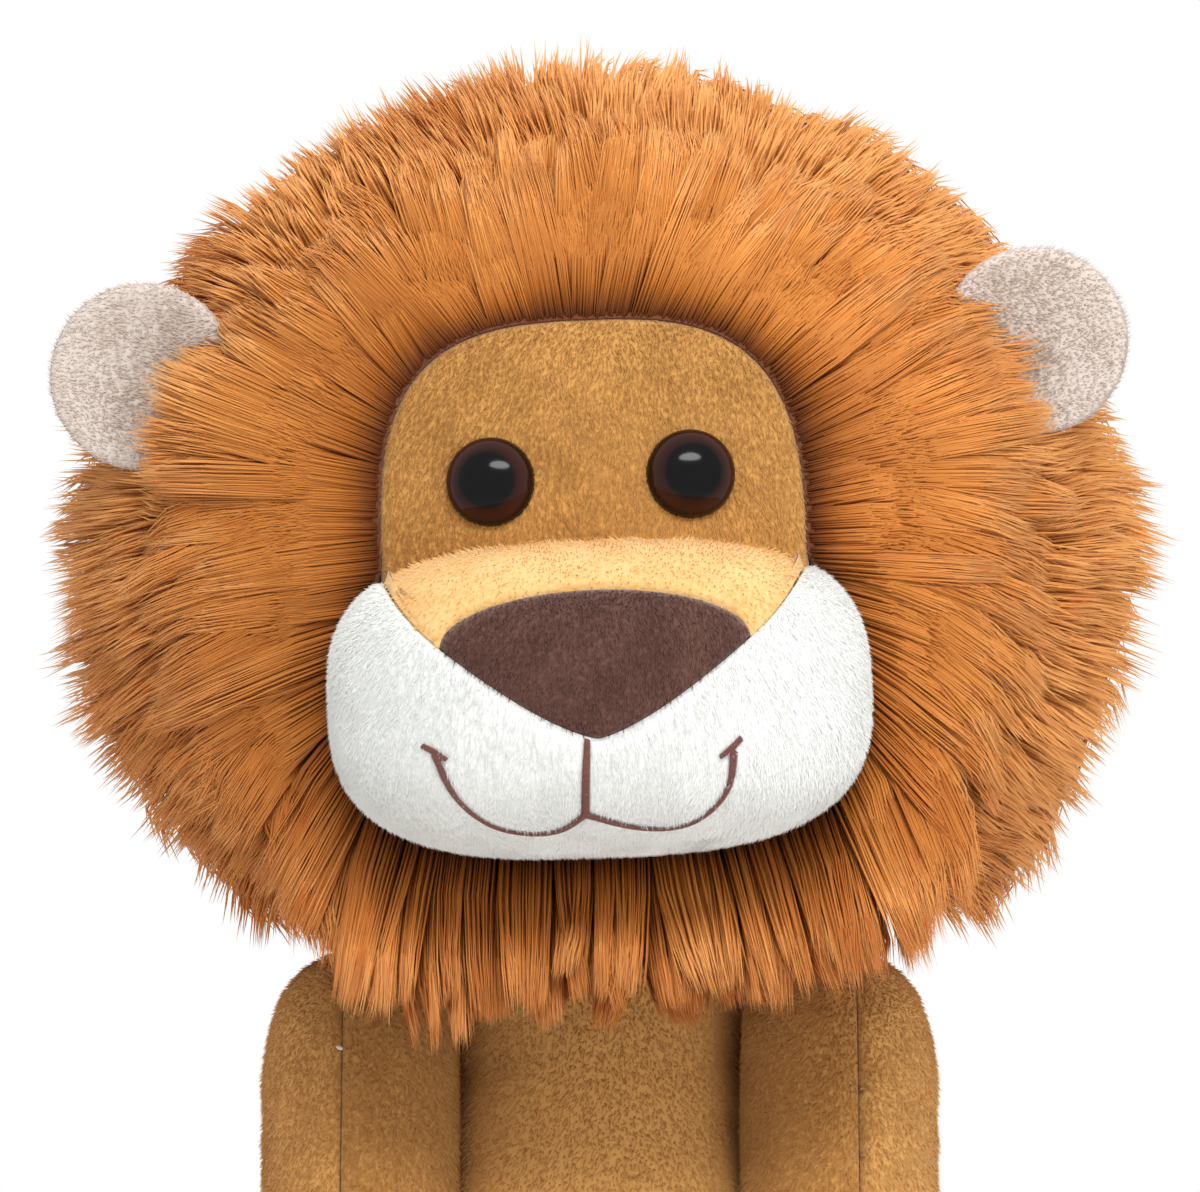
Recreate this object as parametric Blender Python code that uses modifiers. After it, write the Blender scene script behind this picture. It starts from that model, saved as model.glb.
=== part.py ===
"""A seated plush lion, as the sewn panels, stuffing and fittings that it is made of.

Metres, +Z up. The lion looks along -Y, its own left side is +X, and the origin is on the floor
under the axis of the neck. Forms are the smooth shapes of the stuffed pieces, without their fur.
"""

import math

import bmesh
import bpy
from mathutils import Matrix, Vector

# Fabric, fit and cuts
FABRIC = 0.002  # short-pile plush
GAP = 0.0003  # between neighbouring pieces
PRESSED = 0.0005  # depth of the flats on which soft forms stand
OVERRUN = 0.004  # how far a cutter runs past what it cuts
REACH = 0.25  # how far a cutter that takes away one whole side runs
MERGE_DISTANCE = 0.00001  # of points that a turned piece shares on its axis
SHARP_DEGREES = 50  # edges bent more than this stay sharp

# Torso
SHOULDER_HEIGHT = 0.102  # of the shoulder joints above the floor
CHEST_HALF_WIDTH = 0.025  # to the armhole seams
ARMHOLE_DEPTH = 0.003  # how much of the swelling side each armhole takes
SHOULDER_HALF_DEPTH = 0.027
HIP_HALF_WIDTH = 0.050
HIP_HALF_DEPTH = 0.045
HIP_SEAT_DEPTH = 0.002  # how deep the thigh's flat is let into the hip
HIP_SETBACK = 0.002  # of the widest section's centre
NECK_RADIUS = 0.0225
NECK_LENGTH = 0.009  # from the mane's floor to the neck seam
SEAT_RISE = 0.008  # of the seam round the seat panel
SIDE_SEAM_SETBACK = 0.004
PELLET_HEIGHT = 0.035  # fill level of the pellet bag

# Front legs
FRONT_LEG_RADIUS = 0.018
SHOULDER_FORWARD = 0.016  # of the shoulder joints before the neck's axis
FRONT_LEG_SLANT = 0.030  # how far the ankle lies before the shoulder
FRONT_LEG_SEAM_OUT = 0.0035  # of the seam down the front, from the leg's middle
PAW_HALF_WIDTH = 0.0215
PAW_HALF_LENGTH = 0.026
PAW_HALF_HEIGHT = 0.0160
PAW_OUT = 0.002  # of the paw's middle from the leg's
SWING_GAP = 0.0008  # beside a leg that swings past its neighbour

# Hind legs
THIGH_RADIUS = 0.0300
THIGH_HALF_WIDTH = 0.031
THIGH_FLAT_DEPTH = 0.012  # how much of the thigh its flat at the hip takes
FOOT_HALF_WIDTH = 0.0175
FOOT_HALF_HEIGHT = 0.0275
FOOT_FLAT_DEPTH = 0.001  # how much of the foot its inner side's flat takes
FOOT_LENGTH = 0.084  # from the hip joint to the sole
SOLE_DEPTH = 0.006  # of the seam round the sole panel

# Tail
TAIL_RADIUS = 0.006
TAIL_ROOT_RADIUS = 0.007
TAIL_ROOT_HEIGHT = 0.0125
TAIL_LENGTH = 0.058
TUFT_LENGTH = 0.042
TUFT_RADIUS = 0.011

# Head
HEAD_HALF_WIDTH = 0.060
HEAD_HALF_DEPTH = 0.055
HEAD_HALF_HEIGHT = 0.058
HEAD_FORWARD = 0.022  # of the head's middle before the neck's axis
NECK_SINK = 0.002  # how deep the neck's end is let into the head
TURN_GAP = 0.003  # between the mane and what it turns over
HEAD_TILT = math.radians(-2.3)
HEAD_TURN = math.radians(-0.8)

# Mane, as the depth of its pile over the head
PILE_SIDE = 0.032
PILE_TOP = 0.026
PILE_FRONT = 0.009
PILE_BACK = 0.037
MANE_SPLIT = 0.028  # of the seam between front and back, before the head's middle
FUR_BACKING = 0.003  # how thick the fur still is where it meets the face
FRINGE_HALF_WIDTH = 0.056
FRINGE_HALF_DEPTH = 0.0145
FRINGE_HALF_HEIGHT = 0.036
FRINGE_FORWARD = 0.0058  # of its middle before the room of the turning head
FRINGE_DROP = 0.081  # of its lowest fur below the head's middle

# Face
FOREHEAD_HALF_WIDTH = 0.035
FOREHEAD_HEIGHT = 0.038  # above the head's middle
MUZZLE_HALF_WIDTH = 0.0435
MUZZLE_HALF_DEPTH = 0.034
MUZZLE_HALF_HEIGHT = 0.0254
MUZZLE_FORWARD = 0.050  # of its middle before the head's
MUZZLE_DROP = 0.0237  # of its middle below the head's
NOSE_HALF_WIDTH = 0.0248
NOSE_TOP = 0.0178  # above the muzzle's middle
NOSE_CORNER = 0.0090
NOSE_TIP = -0.0062
BRIDGE_HALF_WIDTH = 0.0345  # at the forehead seam
BRIDGE_CORNER = 0.0205  # above the muzzle's middle
BRIDGE_BOW = 0.001  # how far its lower sides sag between their corners

# Ears
EAR_RADIUS = 0.016
EAR_STEM_HALF_WIDTH = 0.011
EAR_ROOT_DEPTH = 0.045  # of the stem's end, inwards from the ear's middle
EAR_HALF_THICKNESS = 0.0033
EAR_DISTANCE = 0.0806  # of the ear's middle from the head's
EAR_RISE = math.radians(23.4)

# Eyes
EYE_RADIUS = 0.0072
EYE_DOME = 0.0046
EYE_RIM = 0.0008
EYE_SINK = 0.0008  # how deep the rim presses into the plush
EYE_OUT = 0.0162  # from the face's middle line
EYE_RISE = 0.0117  # above the head's middle
SHANK_RADIUS = 0.0020
SHANK_LENGTH = 0.0085
WASHER_RADIUS = 0.0062
WASHER_THICKNESS = 0.0014

# Shapes of the forms: exponents of rounded sections, 2 being an ellipse
HEAD_POWER = 2.5
FOREHEAD_POWER = 3.0
MUZZLE_FRONT_POWER = 2.9
MUZZLE_DEPTH_POWER = 2.4
NOSE_POWER = 1.35
PAW_POWER = 2.2
EAR_EDGE_POWER = 0.4

# Height up to the shoulder, and how far the sides have swollen from the shoulder to the hip
BELLY_SHARES = (
    (0.0, 0.3),
    (0.04, 0.7),
    (0.12, 0.92),
    (0.28, 1.0),
    (0.48, 0.94),
    (0.7, 0.62),
    (0.87, 0.24),
    (1.0, 0.0),
)
# Height from the shoulder to the neck seam, and what is left there of the shoulder's swelling
NAPE_SHARES = ((0.25, 0.86), (0.47, 0.58), (0.7, 0.15), (1.0, 0.0))
# Length down the front leg, and its radius
FRONT_LEG_SHARES = ((0.3, 0.99), (0.65, 0.9), (1.0, 0.95), (1.06, 0.8))
# Length along the foot, half width, half height and rise towards the hip
FOOT_SHARES = (
    (0.1, 0.7, 0.52, 0.42),
    (0.36, 0.86, 0.62, 0.1),
    (0.58, 0.93, 0.74, 0.0),
    (0.76, 1.0, 0.95, 0.0),
    (0.9, 0.97, 0.98, 0.0),
    (0.97, 0.88, 0.9, 0.01),
    (1.0, 0.72, 0.76, 0.06),
)
# Depth of the fur before the head's middle, and how far from the face it has risen so high
FUR_SLOPE = ((0.5, -0.002), (0.69, 0.005), (0.83, 0.014), (0.98, 0.026), (1.2, 0.03))
# Length along the tail, and how far it has turned aside
TAIL_SHARES = ((0.0, 0.0), (0.3, 0.06), (0.65, 0.22), (1.0, 0.46))
# Length along the tuft, and its radius
TUFT_SHARES = ((0.0, 0.6), (0.2, 0.88), (0.45, 1.0), (0.7, 0.78), (0.9, 0.4), (1.0, 0.12))
TAIL_SINK_SHARE = 0.65  # of the tail's length, where it comes down to the floor
EAR_SHOULDER_SHARE = 0.5  # of the ear's radius, from its middle in to where the stem has widened
EAR_SHOULDER_WIDTH_SHARE = 0.9
EAR_STEM_SHARE = 1.1  # of the ear's radius, from its middle in to the end of the plain stem
ROUND_END_DEGREES = (76, 52, 26, 0)
ARMHOLE_DEGREES = (70, 45, 20)
EAR_TIP_DEGREES = (0, 28, 52, 72, 86)
ARCH_STEPS = 14
MUZZLE_STEPS = 28
NOSE_TOP_STEPS = 10
NOSE_SIDE_STEPS = 3
DOME_STEPS = 4
MITRE_LIMIT = 0.5  # least cosine at which a corner of a grown outline is still drawn out

SIDES = {"left": 1, "right": -1}

# What follows from the sizes above
LEG_X = CHEST_HALF_WIDTH + FRONT_LEG_RADIUS - ARMHOLE_DEPTH
MANE_FLOOR = SHOULDER_HEIGHT + FRONT_LEG_RADIUS + TURN_GAP
NECK_HEIGHT = MANE_FLOOR + NECK_LENGTH
NECK_HOLE_RADIUS = NECK_RADIUS + TURN_GAP
TURN_RADIUS = math.hypot(LEG_X, SHOULDER_FORWARD) + FRONT_LEG_RADIUS + TURN_GAP
HEAD_HEIGHT = NECK_HEIGHT - NECK_SINK + HEAD_HALF_HEIGHT
MANE_SPLIT_Y = -HEAD_FORWARD - MANE_SPLIT

ANKLE_DROP = SHOULDER_HEIGHT - PAW_HALF_HEIGHT
FRONT_LEG_LENGTH = math.hypot(FRONT_LEG_SLANT, ANKLE_DROP)
LEG_LEAN = math.atan2(FRONT_LEG_SLANT, ANKLE_DROP)
HIP_HEIGHT = THIGH_RADIUS - PRESSED
HIP_Y = (
    (FRONT_LEG_RADIUS + THIGH_RADIUS + SWING_GAP) / math.cos(LEG_LEAN)
    - SHOULDER_FORWARD
    - (SHOULDER_HEIGHT - HIP_HEIGHT) * math.tan(LEG_LEAN)
)
HIP_PLANE = HIP_HALF_WIDTH - HIP_SEAT_DEPTH
THIGH_X = HIP_PLANE + THIGH_HALF_WIDTH - THIGH_FLAT_DEPTH
FOOT_PLANE = max(LEG_X + FRONT_LEG_RADIUS, LEG_X + PAW_OUT + PAW_HALF_WIDTH) + SWING_GAP
FOOT_X = FOOT_PLANE + FOOT_HALF_WIDTH - FOOT_FLAT_DEPTH


def linear(hex_colour):
    """An sRGB hex colour as linear red, green, blue and alpha."""
    values = (int(hex_colour[i : i + 2], 16) / 255 for i in (1, 3, 5))
    return [v / 12.92 if v <= 0.04045 else ((v + 0.055) / 1.055) ** 2.4 for v in values] + [1]


def material(name, hex_colour, roughness):
    made = bpy.data.materials.new(name)
    made.use_nodes = True
    shader = made.node_tree.nodes["Principled BSDF"]
    shader.inputs["Base Color"].default_value = linear(hex_colour)
    shader.inputs["Roughness"].default_value = roughness
    shader.inputs["Metallic"].default_value = 0
    made.diffuse_color = linear(hex_colour)
    return made


def new_collection(name):
    made = bpy.data.collections.new(name)
    bpy.context.scene.collection.children.link(made)
    return made


def new_object(name, mesh, joint=None):
    """A form or cutter, placed in the frame of its joint."""
    thing = bpy.data.objects.new(name, mesh)
    CUTTERS.objects.link(thing)
    thing.parent = joint
    thing.hide_render = True
    thing.display_type = "WIRE"
    return thing


def mesh_from(name, bm):
    bmesh.ops.recalc_face_normals(bm, faces=bm.faces)
    if bm.calc_volume(signed=True) < 0:
        bmesh.ops.reverse_faces(bm, faces=bm.faces)
    mesh = bpy.data.meshes.new(name)
    bm.to_mesh(mesh)
    bm.free()
    return mesh


def joint_at(name, place, turned=(0, 0, 0)):
    """An empty on a joint's axis, which carries the pieces that move there."""
    empty = bpy.data.objects.new(name, None)
    PARTS.objects.link(empty)
    empty.location = place
    empty.rotation_euler = turned
    return empty


def block(name, low, high, joint=None):
    bm = bmesh.new()
    bmesh.ops.create_cube(bm, size=1)
    low, high = Vector(low), Vector(high)
    for vertex in bm.verts:
        vertex.co = low + (high - low) * (vertex.co + Vector((0.5, 0.5, 0.5)))
    return new_object(name, mesh_from(name, bm), joint)


def beyond(name, axis, start, direction, joint=None):
    """A cutter that takes all that lies past start along an axis."""
    low, high = [-REACH] * 3, [REACH] * 3
    (low if direction > 0 else high)["XYZ".index(axis)] = start
    return block(name, low, high, joint)


def cylinder(name, start, end, radius, segments=32):
    """A cylinder from one point to another."""
    along = Vector(end) - Vector(start)
    bm = bmesh.new()
    bmesh.ops.create_circle(bm, cap_ends=True, segments=segments, radius=radius)
    drawn = bmesh.ops.extrude_face_region(bm, geom=list(bm.faces))["geom"]
    rise = Vector((0, 0, along.length))
    bmesh.ops.translate(bm, vec=rise, verts=[v for v in drawn if isinstance(v, bmesh.types.BMVert)])
    turn = along.to_track_quat("Z", "Y").to_matrix().to_4x4()
    bmesh.ops.transform(bm, matrix=Matrix.Translation(start) @ turn, verts=bm.verts)
    return new_object(name, mesh_from(name, bm))


def puffed(name, centre, halves, joint, powers=(2, 2), pole="Y", segments=28, rings=16):
    """A rounded form: powers shape its section across the pole, and then along it."""
    bm = bmesh.new()
    bmesh.ops.create_uvsphere(bm, u_segments=segments, v_segments=rings, radius=1)
    across, along = powers
    order = {"X": (2, 0, 1), "Y": (1, 2, 0), "Z": (0, 1, 2)}[pole]
    for vertex in bm.verts:
        a, b, c = (abs(value) for value in vertex.co)
        size = ((a**across + b**across) ** (along / across) + c**along) ** (1 / along)
        turned = Vector([vertex.co[i] / size for i in order])
        vertex.co = Vector(centre) + Vector([t * h for t, h in zip(turned, halves)])
    return new_object(name, mesh_from(name, bm), joint)


def loft(name, sections, first_axis, joint, sides=16, facing=None):
    """A closed form through sections of (centre, half size along first_axis, other half size).

    The sections stand square to the path, or to the direction given as facing.
    """
    bm = bmesh.new()
    centres = [Vector(section[0]) for section in sections]
    rings = []
    for i, (_, half_first, half_second) in enumerate(sections):
        along = centres[min(i + 1, len(centres) - 1)] - centres[max(i - 1, 0)]
        ahead = Vector(facing or along).normalized()
        second = ahead.cross(Vector(first_axis)).normalized()
        first = second.cross(ahead)
        ring = []
        for step in range(sides):
            angle = 2 * math.pi * step / sides
            offset = first * half_first * math.cos(angle) + second * half_second * math.sin(angle)
            ring.append(bm.verts.new(centres[i] + offset))
        rings.append(ring)
    for here, there in zip(rings, rings[1:]):
        for step in range(sides):
            after = (step + 1) % sides
            bm.faces.new((here[step], here[after], there[after], there[step]))
    bm.faces.new(rings[0])
    bm.faces.new(rings[-1])
    return new_object(name, mesh_from(name, bm), joint)


def grown(outline, by):
    """An outline of (x, z) points, anticlockwise, moved outwards."""
    moved = []
    for i, point in enumerate(outline):
        before, after = Vector(outline[i - 1]), Vector(outline[(i + 1) % len(outline)])
        into, out = (Vector(point) - before).normalized(), (after - Vector(point)).normalized()
        normals = Vector((into.y, -into.x)), Vector((out.y, -out.x))
        middle = (normals[0] + normals[1]).normalized()
        moved.append(Vector(point) + middle * by / max(middle.dot(normals[0]), MITRE_LIMIT))
    return moved


def prism(name, outline, joint):
    """An outline of (x, z) points drawn forward from the head's middle, past the muzzle."""
    bm = bmesh.new()
    face = bm.faces.new([bm.verts.new((x, -HEAD_FORWARD, z)) for x, z in outline])
    drawn = bmesh.ops.extrude_face_region(bm, geom=[face])["geom"]
    reach = Vector((0, -MUZZLE_FORWARD - MUZZLE_HALF_DEPTH - OVERRUN, 0))
    bmesh.ops.translate(bm, vec=reach, verts=[v for v in drawn if isinstance(v, bmesh.types.BMVert)])
    return new_object(name, mesh_from(name, bm), joint)


def flared(name, outline, joint):
    """An outline of (x, z) points drawn forward, which widens as the fur rises beside the face."""
    bm = bmesh.new()
    rings = []
    for share, width in FUR_SLOPE:
        y = -HEAD_FORWARD - (HEAD_HALF_DEPTH + PILE_FRONT) * share
        rings.append([bm.verts.new((x, y, z)) for x, z in grown(outline, GAP + width)])
    for near, far in zip(rings, rings[1:]):
        for i in range(len(near)):
            bm.faces.new((near[i - 1], near[i], far[i], far[i - 1]))
    bm.faces.new(rings[0])
    bm.faces.new(rings[-1])
    return new_object(name, mesh_from(name, bm), joint)


def side_prism(name, outline, start, end):
    """An outline of (y, z) points drawn from start to end along X."""
    bm = bmesh.new()
    face = bm.faces.new([bm.verts.new((start, y, z)) for y, z in outline])
    drawn = bmesh.ops.extrude_face_region(bm, geom=[face])["geom"]
    moved = [v for v in drawn if isinstance(v, bmesh.types.BMVert)]
    bmesh.ops.translate(bm, vec=(end - start, 0, 0), verts=moved)
    return new_object(name, mesh_from(name, bm))


def cut(thing, *cutters, operation="DIFFERENCE"):
    for cutter in cutters:
        step = thing.modifiers.new(cutter.name, "BOOLEAN")
        step.operation = operation
        step.object = cutter
    return thing


def part(name, form, finish, *cutters):
    """A piece of the lion: a copy of a form, less its cutters."""
    bpy.context.view_layer.update()
    evaluated = form.evaluated_get(bpy.context.evaluated_depsgraph_get())
    mesh = bpy.data.meshes.new_from_object(evaluated)
    mesh.name = name
    thing = bpy.data.objects.new(name, mesh)
    PARTS.objects.link(thing)
    thing.parent = form.parent
    thing.location = form.location
    thing.rotation_euler = form.rotation_euler
    cut(thing, *cutters)
    mesh.materials.clear()
    mesh.materials.append(finish)
    mesh.shade_smooth()
    mesh.set_sharp_from_angle(angle=math.radians(SHARP_DEGREES))
    return thing


def turned(name, profile, closed, place, along, joint, steps=14):
    """A piece turned about its own Z axis, which then points along a direction."""
    count = len(profile)
    edges = [(i, i + 1) for i in range(count - 1)] + ([(count - 1, 0)] if closed else [])
    mesh = bpy.data.meshes.new(name)
    mesh.from_pydata([(radius, 0, height) for radius, height in profile], edges, [])
    thing = new_object(name, mesh, joint)
    screw = thing.modifiers.new("turn", "SCREW")
    screw.steps = steps
    screw.render_steps = steps
    screw.use_merge_vertices = True
    screw.merge_threshold = MERGE_DISTANCE
    thing.location = place
    thing.rotation_euler = along.to_track_quat("Z", "Y").to_euler()
    return thing


def torso_sections(inset):
    """Sections of the torso from the seat up, each moved in by inset."""
    shoulder_half_width = CHEST_HALF_WIDTH + ARMHOLE_DEPTH
    sections = []
    for height, swell in BELLY_SHARES:
        half_width = shoulder_half_width + swell * (HIP_HALF_WIDTH - shoulder_half_width)
        half_depth = SHOULDER_HALF_DEPTH + swell * (HIP_HALF_DEPTH - SHOULDER_HALF_DEPTH)
        sections.append(((0, swell * HIP_SETBACK, height * SHOULDER_HEIGHT), half_width, half_depth))
    for height, swell in NAPE_SHARES:
        half_width = NECK_RADIUS + swell * (shoulder_half_width - NECK_RADIUS)
        half_depth = NECK_RADIUS + swell * (SHOULDER_HALF_DEPTH - NECK_RADIUS)
        rise = SHOULDER_HEIGHT + height * (NECK_HEIGHT - SHOULDER_HEIGHT)
        sections.append(((0, 0, rise), half_width, half_depth))
    return [(centre, wide - inset, deep - inset) for centre, wide, deep in sections]


def torso_back(height):
    """How far back the torso reaches at a height."""
    sections = torso_sections(0)
    for below, above in zip(sections, sections[1:]):
        if below[0][2] <= height <= above[0][2]:
            share = (height - below[0][2]) / (above[0][2] - below[0][2])
            return (below[0][1] + below[2]) * (1 - share) + (above[0][1] + above[2]) * share
    return sections[-1][2]


def armhole(name, side, inset):
    """The room of a front leg, at rest and swung forward, which the torso leaves free."""
    radius = FRONT_LEG_RADIUS + SWING_GAP + inset
    down = Vector((-math.sin(LEG_LEAN), -math.cos(LEG_LEAN)))
    back = Vector((math.cos(LEG_LEAN), -math.sin(LEG_LEAN)))
    shoulder = Vector((-SHOULDER_FORWARD, SHOULDER_HEIGHT))
    front_y = -SHOULDER_FORWARD - FRONT_LEG_SLANT - HIP_HALF_DEPTH
    outline = [
        shoulder + back * radius,
        shoulder + back * radius + down * (FRONT_LEG_LENGTH + PAW_HALF_HEIGHT + OVERRUN + radius),
        Vector((front_y, -radius - OVERRUN)),
        Vector((front_y, SHOULDER_HEIGHT + radius)),
        Vector((-SHOULDER_FORWARD, SHOULDER_HEIGHT + radius)),
    ]
    for degrees in ARMHOLE_DEGREES:
        angle = math.radians(degrees)
        outline.append(shoulder + radius * (back * math.cos(angle) - down * math.sin(angle)))
    start = side * (CHEST_HALF_WIDTH - GAP - inset)
    return side_prism(name, outline, start, side * (HIP_HALF_WIDTH + FRONT_LEG_RADIUS + REACH))


def hip_seat(name, side, inset):
    """The flat on the torso's side, where the thigh turns."""
    start = (side * (HIP_PLANE - GAP - inset), HIP_Y, HIP_HEIGHT)
    end = (side * (HIP_PLANE + THIGH_HALF_WIDTH), HIP_Y, HIP_HEIGHT)
    return cylinder(name, start, end, THIGH_RADIUS + SWING_GAP + inset)


def torso_form(name, inset, top):
    """The pear-shaped torso, moved in by inset, with its neck at a height."""
    sections = torso_sections(inset)
    sections[0] = ((0, 0, inset), *sections[0][1:])
    sections[-1] = ((0, 0, top), *sections[-1][1:])
    form = loft(name, sections, (1, 0, 0), None, sides=20, facing=(0, 0, 1))
    for side_name, side in SIDES.items():
        cut(form, armhole(f"{name}_armhole_{side_name}", side, inset))
        cut(form, hip_seat(f"{name}_hip_seat_{side_name}", side, inset))
    return form


def make_torso():
    outer = torso_form("torso_outer", 0, NECK_HEIGHT)
    inner = torso_form("torso_inner", FABRIC, NECK_HEIGHT + OVERRUN)
    filling = torso_form("torso_filling", FABRIC + GAP, NECK_HEIGHT - GAP)
    above_seat = beyond("above_seat_seam", "Z", SEAT_RISE - GAP / 2, 1)
    below_seat = beyond("below_seat_seam", "Z", SEAT_RISE + GAP / 2, -1)
    behind_side = beyond("behind_side_seam", "Y", SIDE_SEAM_SETBACK - GAP / 2, 1)
    before_side = beyond("before_side_seam", "Y", SIDE_SEAM_SETBACK + GAP / 2, -1)
    part("belly_panel", outer, TAN_PLUSH, inner, below_seat, behind_side)
    for side_name, side in SIDES.items():
        other_half = beyond(f"beside_back_seam_{side_name}", "X", side * GAP / 2, -side)
        part(f"back_panel_{side_name}", outer, TAN_PLUSH, inner, below_seat, before_side, other_half)
    part("seat_panel", outer, TAN_PLUSH, inner, above_seat)
    part("torso_stuffing", filling, STUFFING, beyond("pellet_room", "Z", PELLET_HEIGHT + GAP / 2, -1))
    part("pellet_bag", filling, PELLET_CLOTH, beyond("stuffing_room", "Z", PELLET_HEIGHT - GAP / 2, 1))


def front_leg_form(name, side, inset, joint):
    """A straight front leg with a round shoulder and a paw, moved in by inset."""
    down = Vector((0, -math.sin(LEG_LEAN), -math.cos(LEG_LEAN)))
    sections = []
    radius = FRONT_LEG_RADIUS - inset
    for degrees in ROUND_END_DEGREES:
        angle = math.radians(degrees)
        half = radius * math.cos(angle)
        sections.append((down * -radius * math.sin(angle), half, half))
    for length, width in FRONT_LEG_SHARES:
        half = FRONT_LEG_RADIUS * width - inset
        sections.append((down * FRONT_LEG_LENGTH * length, half, half))
    form = loft(name, sections, (1, 0, 0), joint, sides=12)
    heel_y = -FRONT_LEG_SLANT + FRONT_LEG_RADIUS - PRESSED
    centre = (side * PAW_OUT, heel_y - PAW_HALF_LENGTH, PAW_HALF_HEIGHT - PRESSED - SHOULDER_HEIGHT)
    halves = (PAW_HALF_WIDTH - inset, PAW_HALF_LENGTH - inset, PAW_HALF_HEIGHT - inset)
    powers = (PAW_POWER, PAW_POWER)
    paw = puffed(f"{name}_paw", centre, halves, joint, powers, segments=12, rings=8)
    return cut(form, paw, operation="UNION")


def make_front_leg(side_name, side):
    name = f"front_leg_{side_name}"
    joint = joint_at(f"{name}_joint", (side * LEG_X, -SHOULDER_FORWARD, SHOULDER_HEIGHT))
    forms = []
    for layer, inset in (("outer", 0), ("inner", FABRIC), ("filling", FABRIC + GAP)):
        armhole_plane = side * (CHEST_HALF_WIDTH + inset - LEG_X)
        body_side = beyond(f"{name}_{layer}_body_side", "X", armhole_plane, -side, joint)
        forms.append(cut(front_leg_form(f"{name}_{layer}_form", side, inset, joint), body_side))
    outer, inner, filling = forms
    cut(outer, beyond(f"{name}_below_floor", "Z", -SHOULDER_HEIGHT, -1, joint))
    for panel, keep in (("outer", 1), ("inner", -1)):
        seam = side * FRONT_LEG_SEAM_OUT + side * keep * GAP / 2
        other_half = beyond(f"{name}_{panel}_seam", "X", seam, -side * keep, joint)
        part(f"{name}_{panel}_panel", outer, TAN_PLUSH, inner, other_half)
    part(f"{name}_stuffing", filling, STUFFING)


def thigh_form(name, inset, joint):
    halves = (THIGH_HALF_WIDTH - inset, THIGH_RADIUS - inset, THIGH_RADIUS - inset)
    return puffed(name, (0, 0, 0), halves, joint, pole="X", segments=16, rings=8)


def foot_form(name, side, inset, joint):
    """The foot, from inside the thigh forward to the upright sole, moved in by inset."""
    sections = []
    for length, width, height, rise in FOOT_SHARES:
        half_width = FOOT_HALF_WIDTH * width - inset
        half_height = FOOT_HALF_HEIGHT * height - inset
        y = -FOOT_LENGTH * length
        if length == 1.0:
            y += inset
        z = FOOT_HALF_HEIGHT * height - PRESSED - HIP_HEIGHT * (1 - rise)
        centre = (side * (FOOT_X - THIGH_X), y, z)
        sections.append((centre, half_width, half_height))
    return loft(name, sections, (1, 0, 0), joint, sides=12, facing=(0, -1, 0))


def make_hind_leg(side_name, side):
    joint = joint_at(f"hind_leg_{side_name}_joint", (side * THIGH_X, HIP_Y, HIP_HEIGHT))
    hip_side = beyond(f"hip_side_{side_name}", "X", side * (HIP_PLANE - THIGH_X), -side, joint)
    foot_inside = side * (FOOT_PLANE - THIGH_X)
    front_leg_side = beyond(f"front_leg_side_{side_name}", "X", foot_inside, -side, joint)
    below_floor = beyond(f"hind_leg_{side_name}_below_floor", "Z", -HIP_HEIGHT, -1, joint)
    thigh_room = thigh_form(f"thigh_room_{side_name}", -GAP, joint)

    thigh = cut(thigh_form(f"thigh_outer_{side_name}", 0, joint), hip_side, below_floor)
    thigh_inner = thigh_form(f"thigh_inner_{side_name}", FABRIC, joint)
    part(f"thigh_panel_{side_name}", thigh, TAN_PLUSH, thigh_inner)
    thigh_filling = thigh_form(f"thigh_filling_{side_name}", FABRIC + GAP, joint)
    part(f"thigh_stuffing_{side_name}", thigh_filling, STUFFING, hip_side)

    foot = cut(foot_form(f"foot_outer_{side_name}", side, 0, joint), front_leg_side, below_floor, thigh_room)
    foot_inner = foot_form(f"foot_inner_{side_name}", side, FABRIC, joint)
    sole_y = SOLE_DEPTH - FOOT_LENGTH
    before_seam = beyond(f"before_sole_seam_{side_name}", "Y", sole_y + GAP / 2, -1, joint)
    behind_seam = beyond(f"behind_sole_seam_{side_name}", "Y", sole_y - GAP / 2, 1, joint)
    part(f"foot_panel_{side_name}", foot, TAN_PLUSH, foot_inner, before_seam)
    part(f"sole_panel_{side_name}", foot, SOLE_PLUSH, foot_inner, behind_seam)
    filling = foot_form(f"foot_filling_{side_name}", side, FABRIC + GAP, joint)
    part(f"foot_stuffing_{side_name}", filling, STUFFING, thigh_room)


def tail_form(name, inset, joint, extra):
    """The tail from its round root, sinking to the floor and turning aside."""
    radius = TAIL_ROOT_RADIUS - inset
    path = []
    for length, aside in TAIL_SHARES:
        sink = min(length / TAIL_SINK_SHARE, 1)
        drop = sink * (TAIL_ROOT_HEIGHT - TAIL_RADIUS + PRESSED)
        path.append((Vector((TAIL_LENGTH * aside, TAIL_LENGTH * length, -drop)), TAIL_RADIUS - inset))
    sections = []
    for degrees in ROUND_END_DEGREES[:-1]:
        angle = math.radians(degrees)
        half = radius * math.cos(angle)
        sections.append(((0, -radius * math.sin(angle), 0), half, half))
    sections.append((path[0][0], radius, radius))
    sections += [(centre, half, half) for centre, half in path[1:]]
    ahead = (path[-1][0] - path[-2][0]).normalized()
    end = path[-1][0] + ahead * extra
    sections[-1] = (end, sections[-1][1], sections[-1][2])
    return loft(name, sections, (0, 0, 1), joint, sides=10), path[-1][0], ahead


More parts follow.
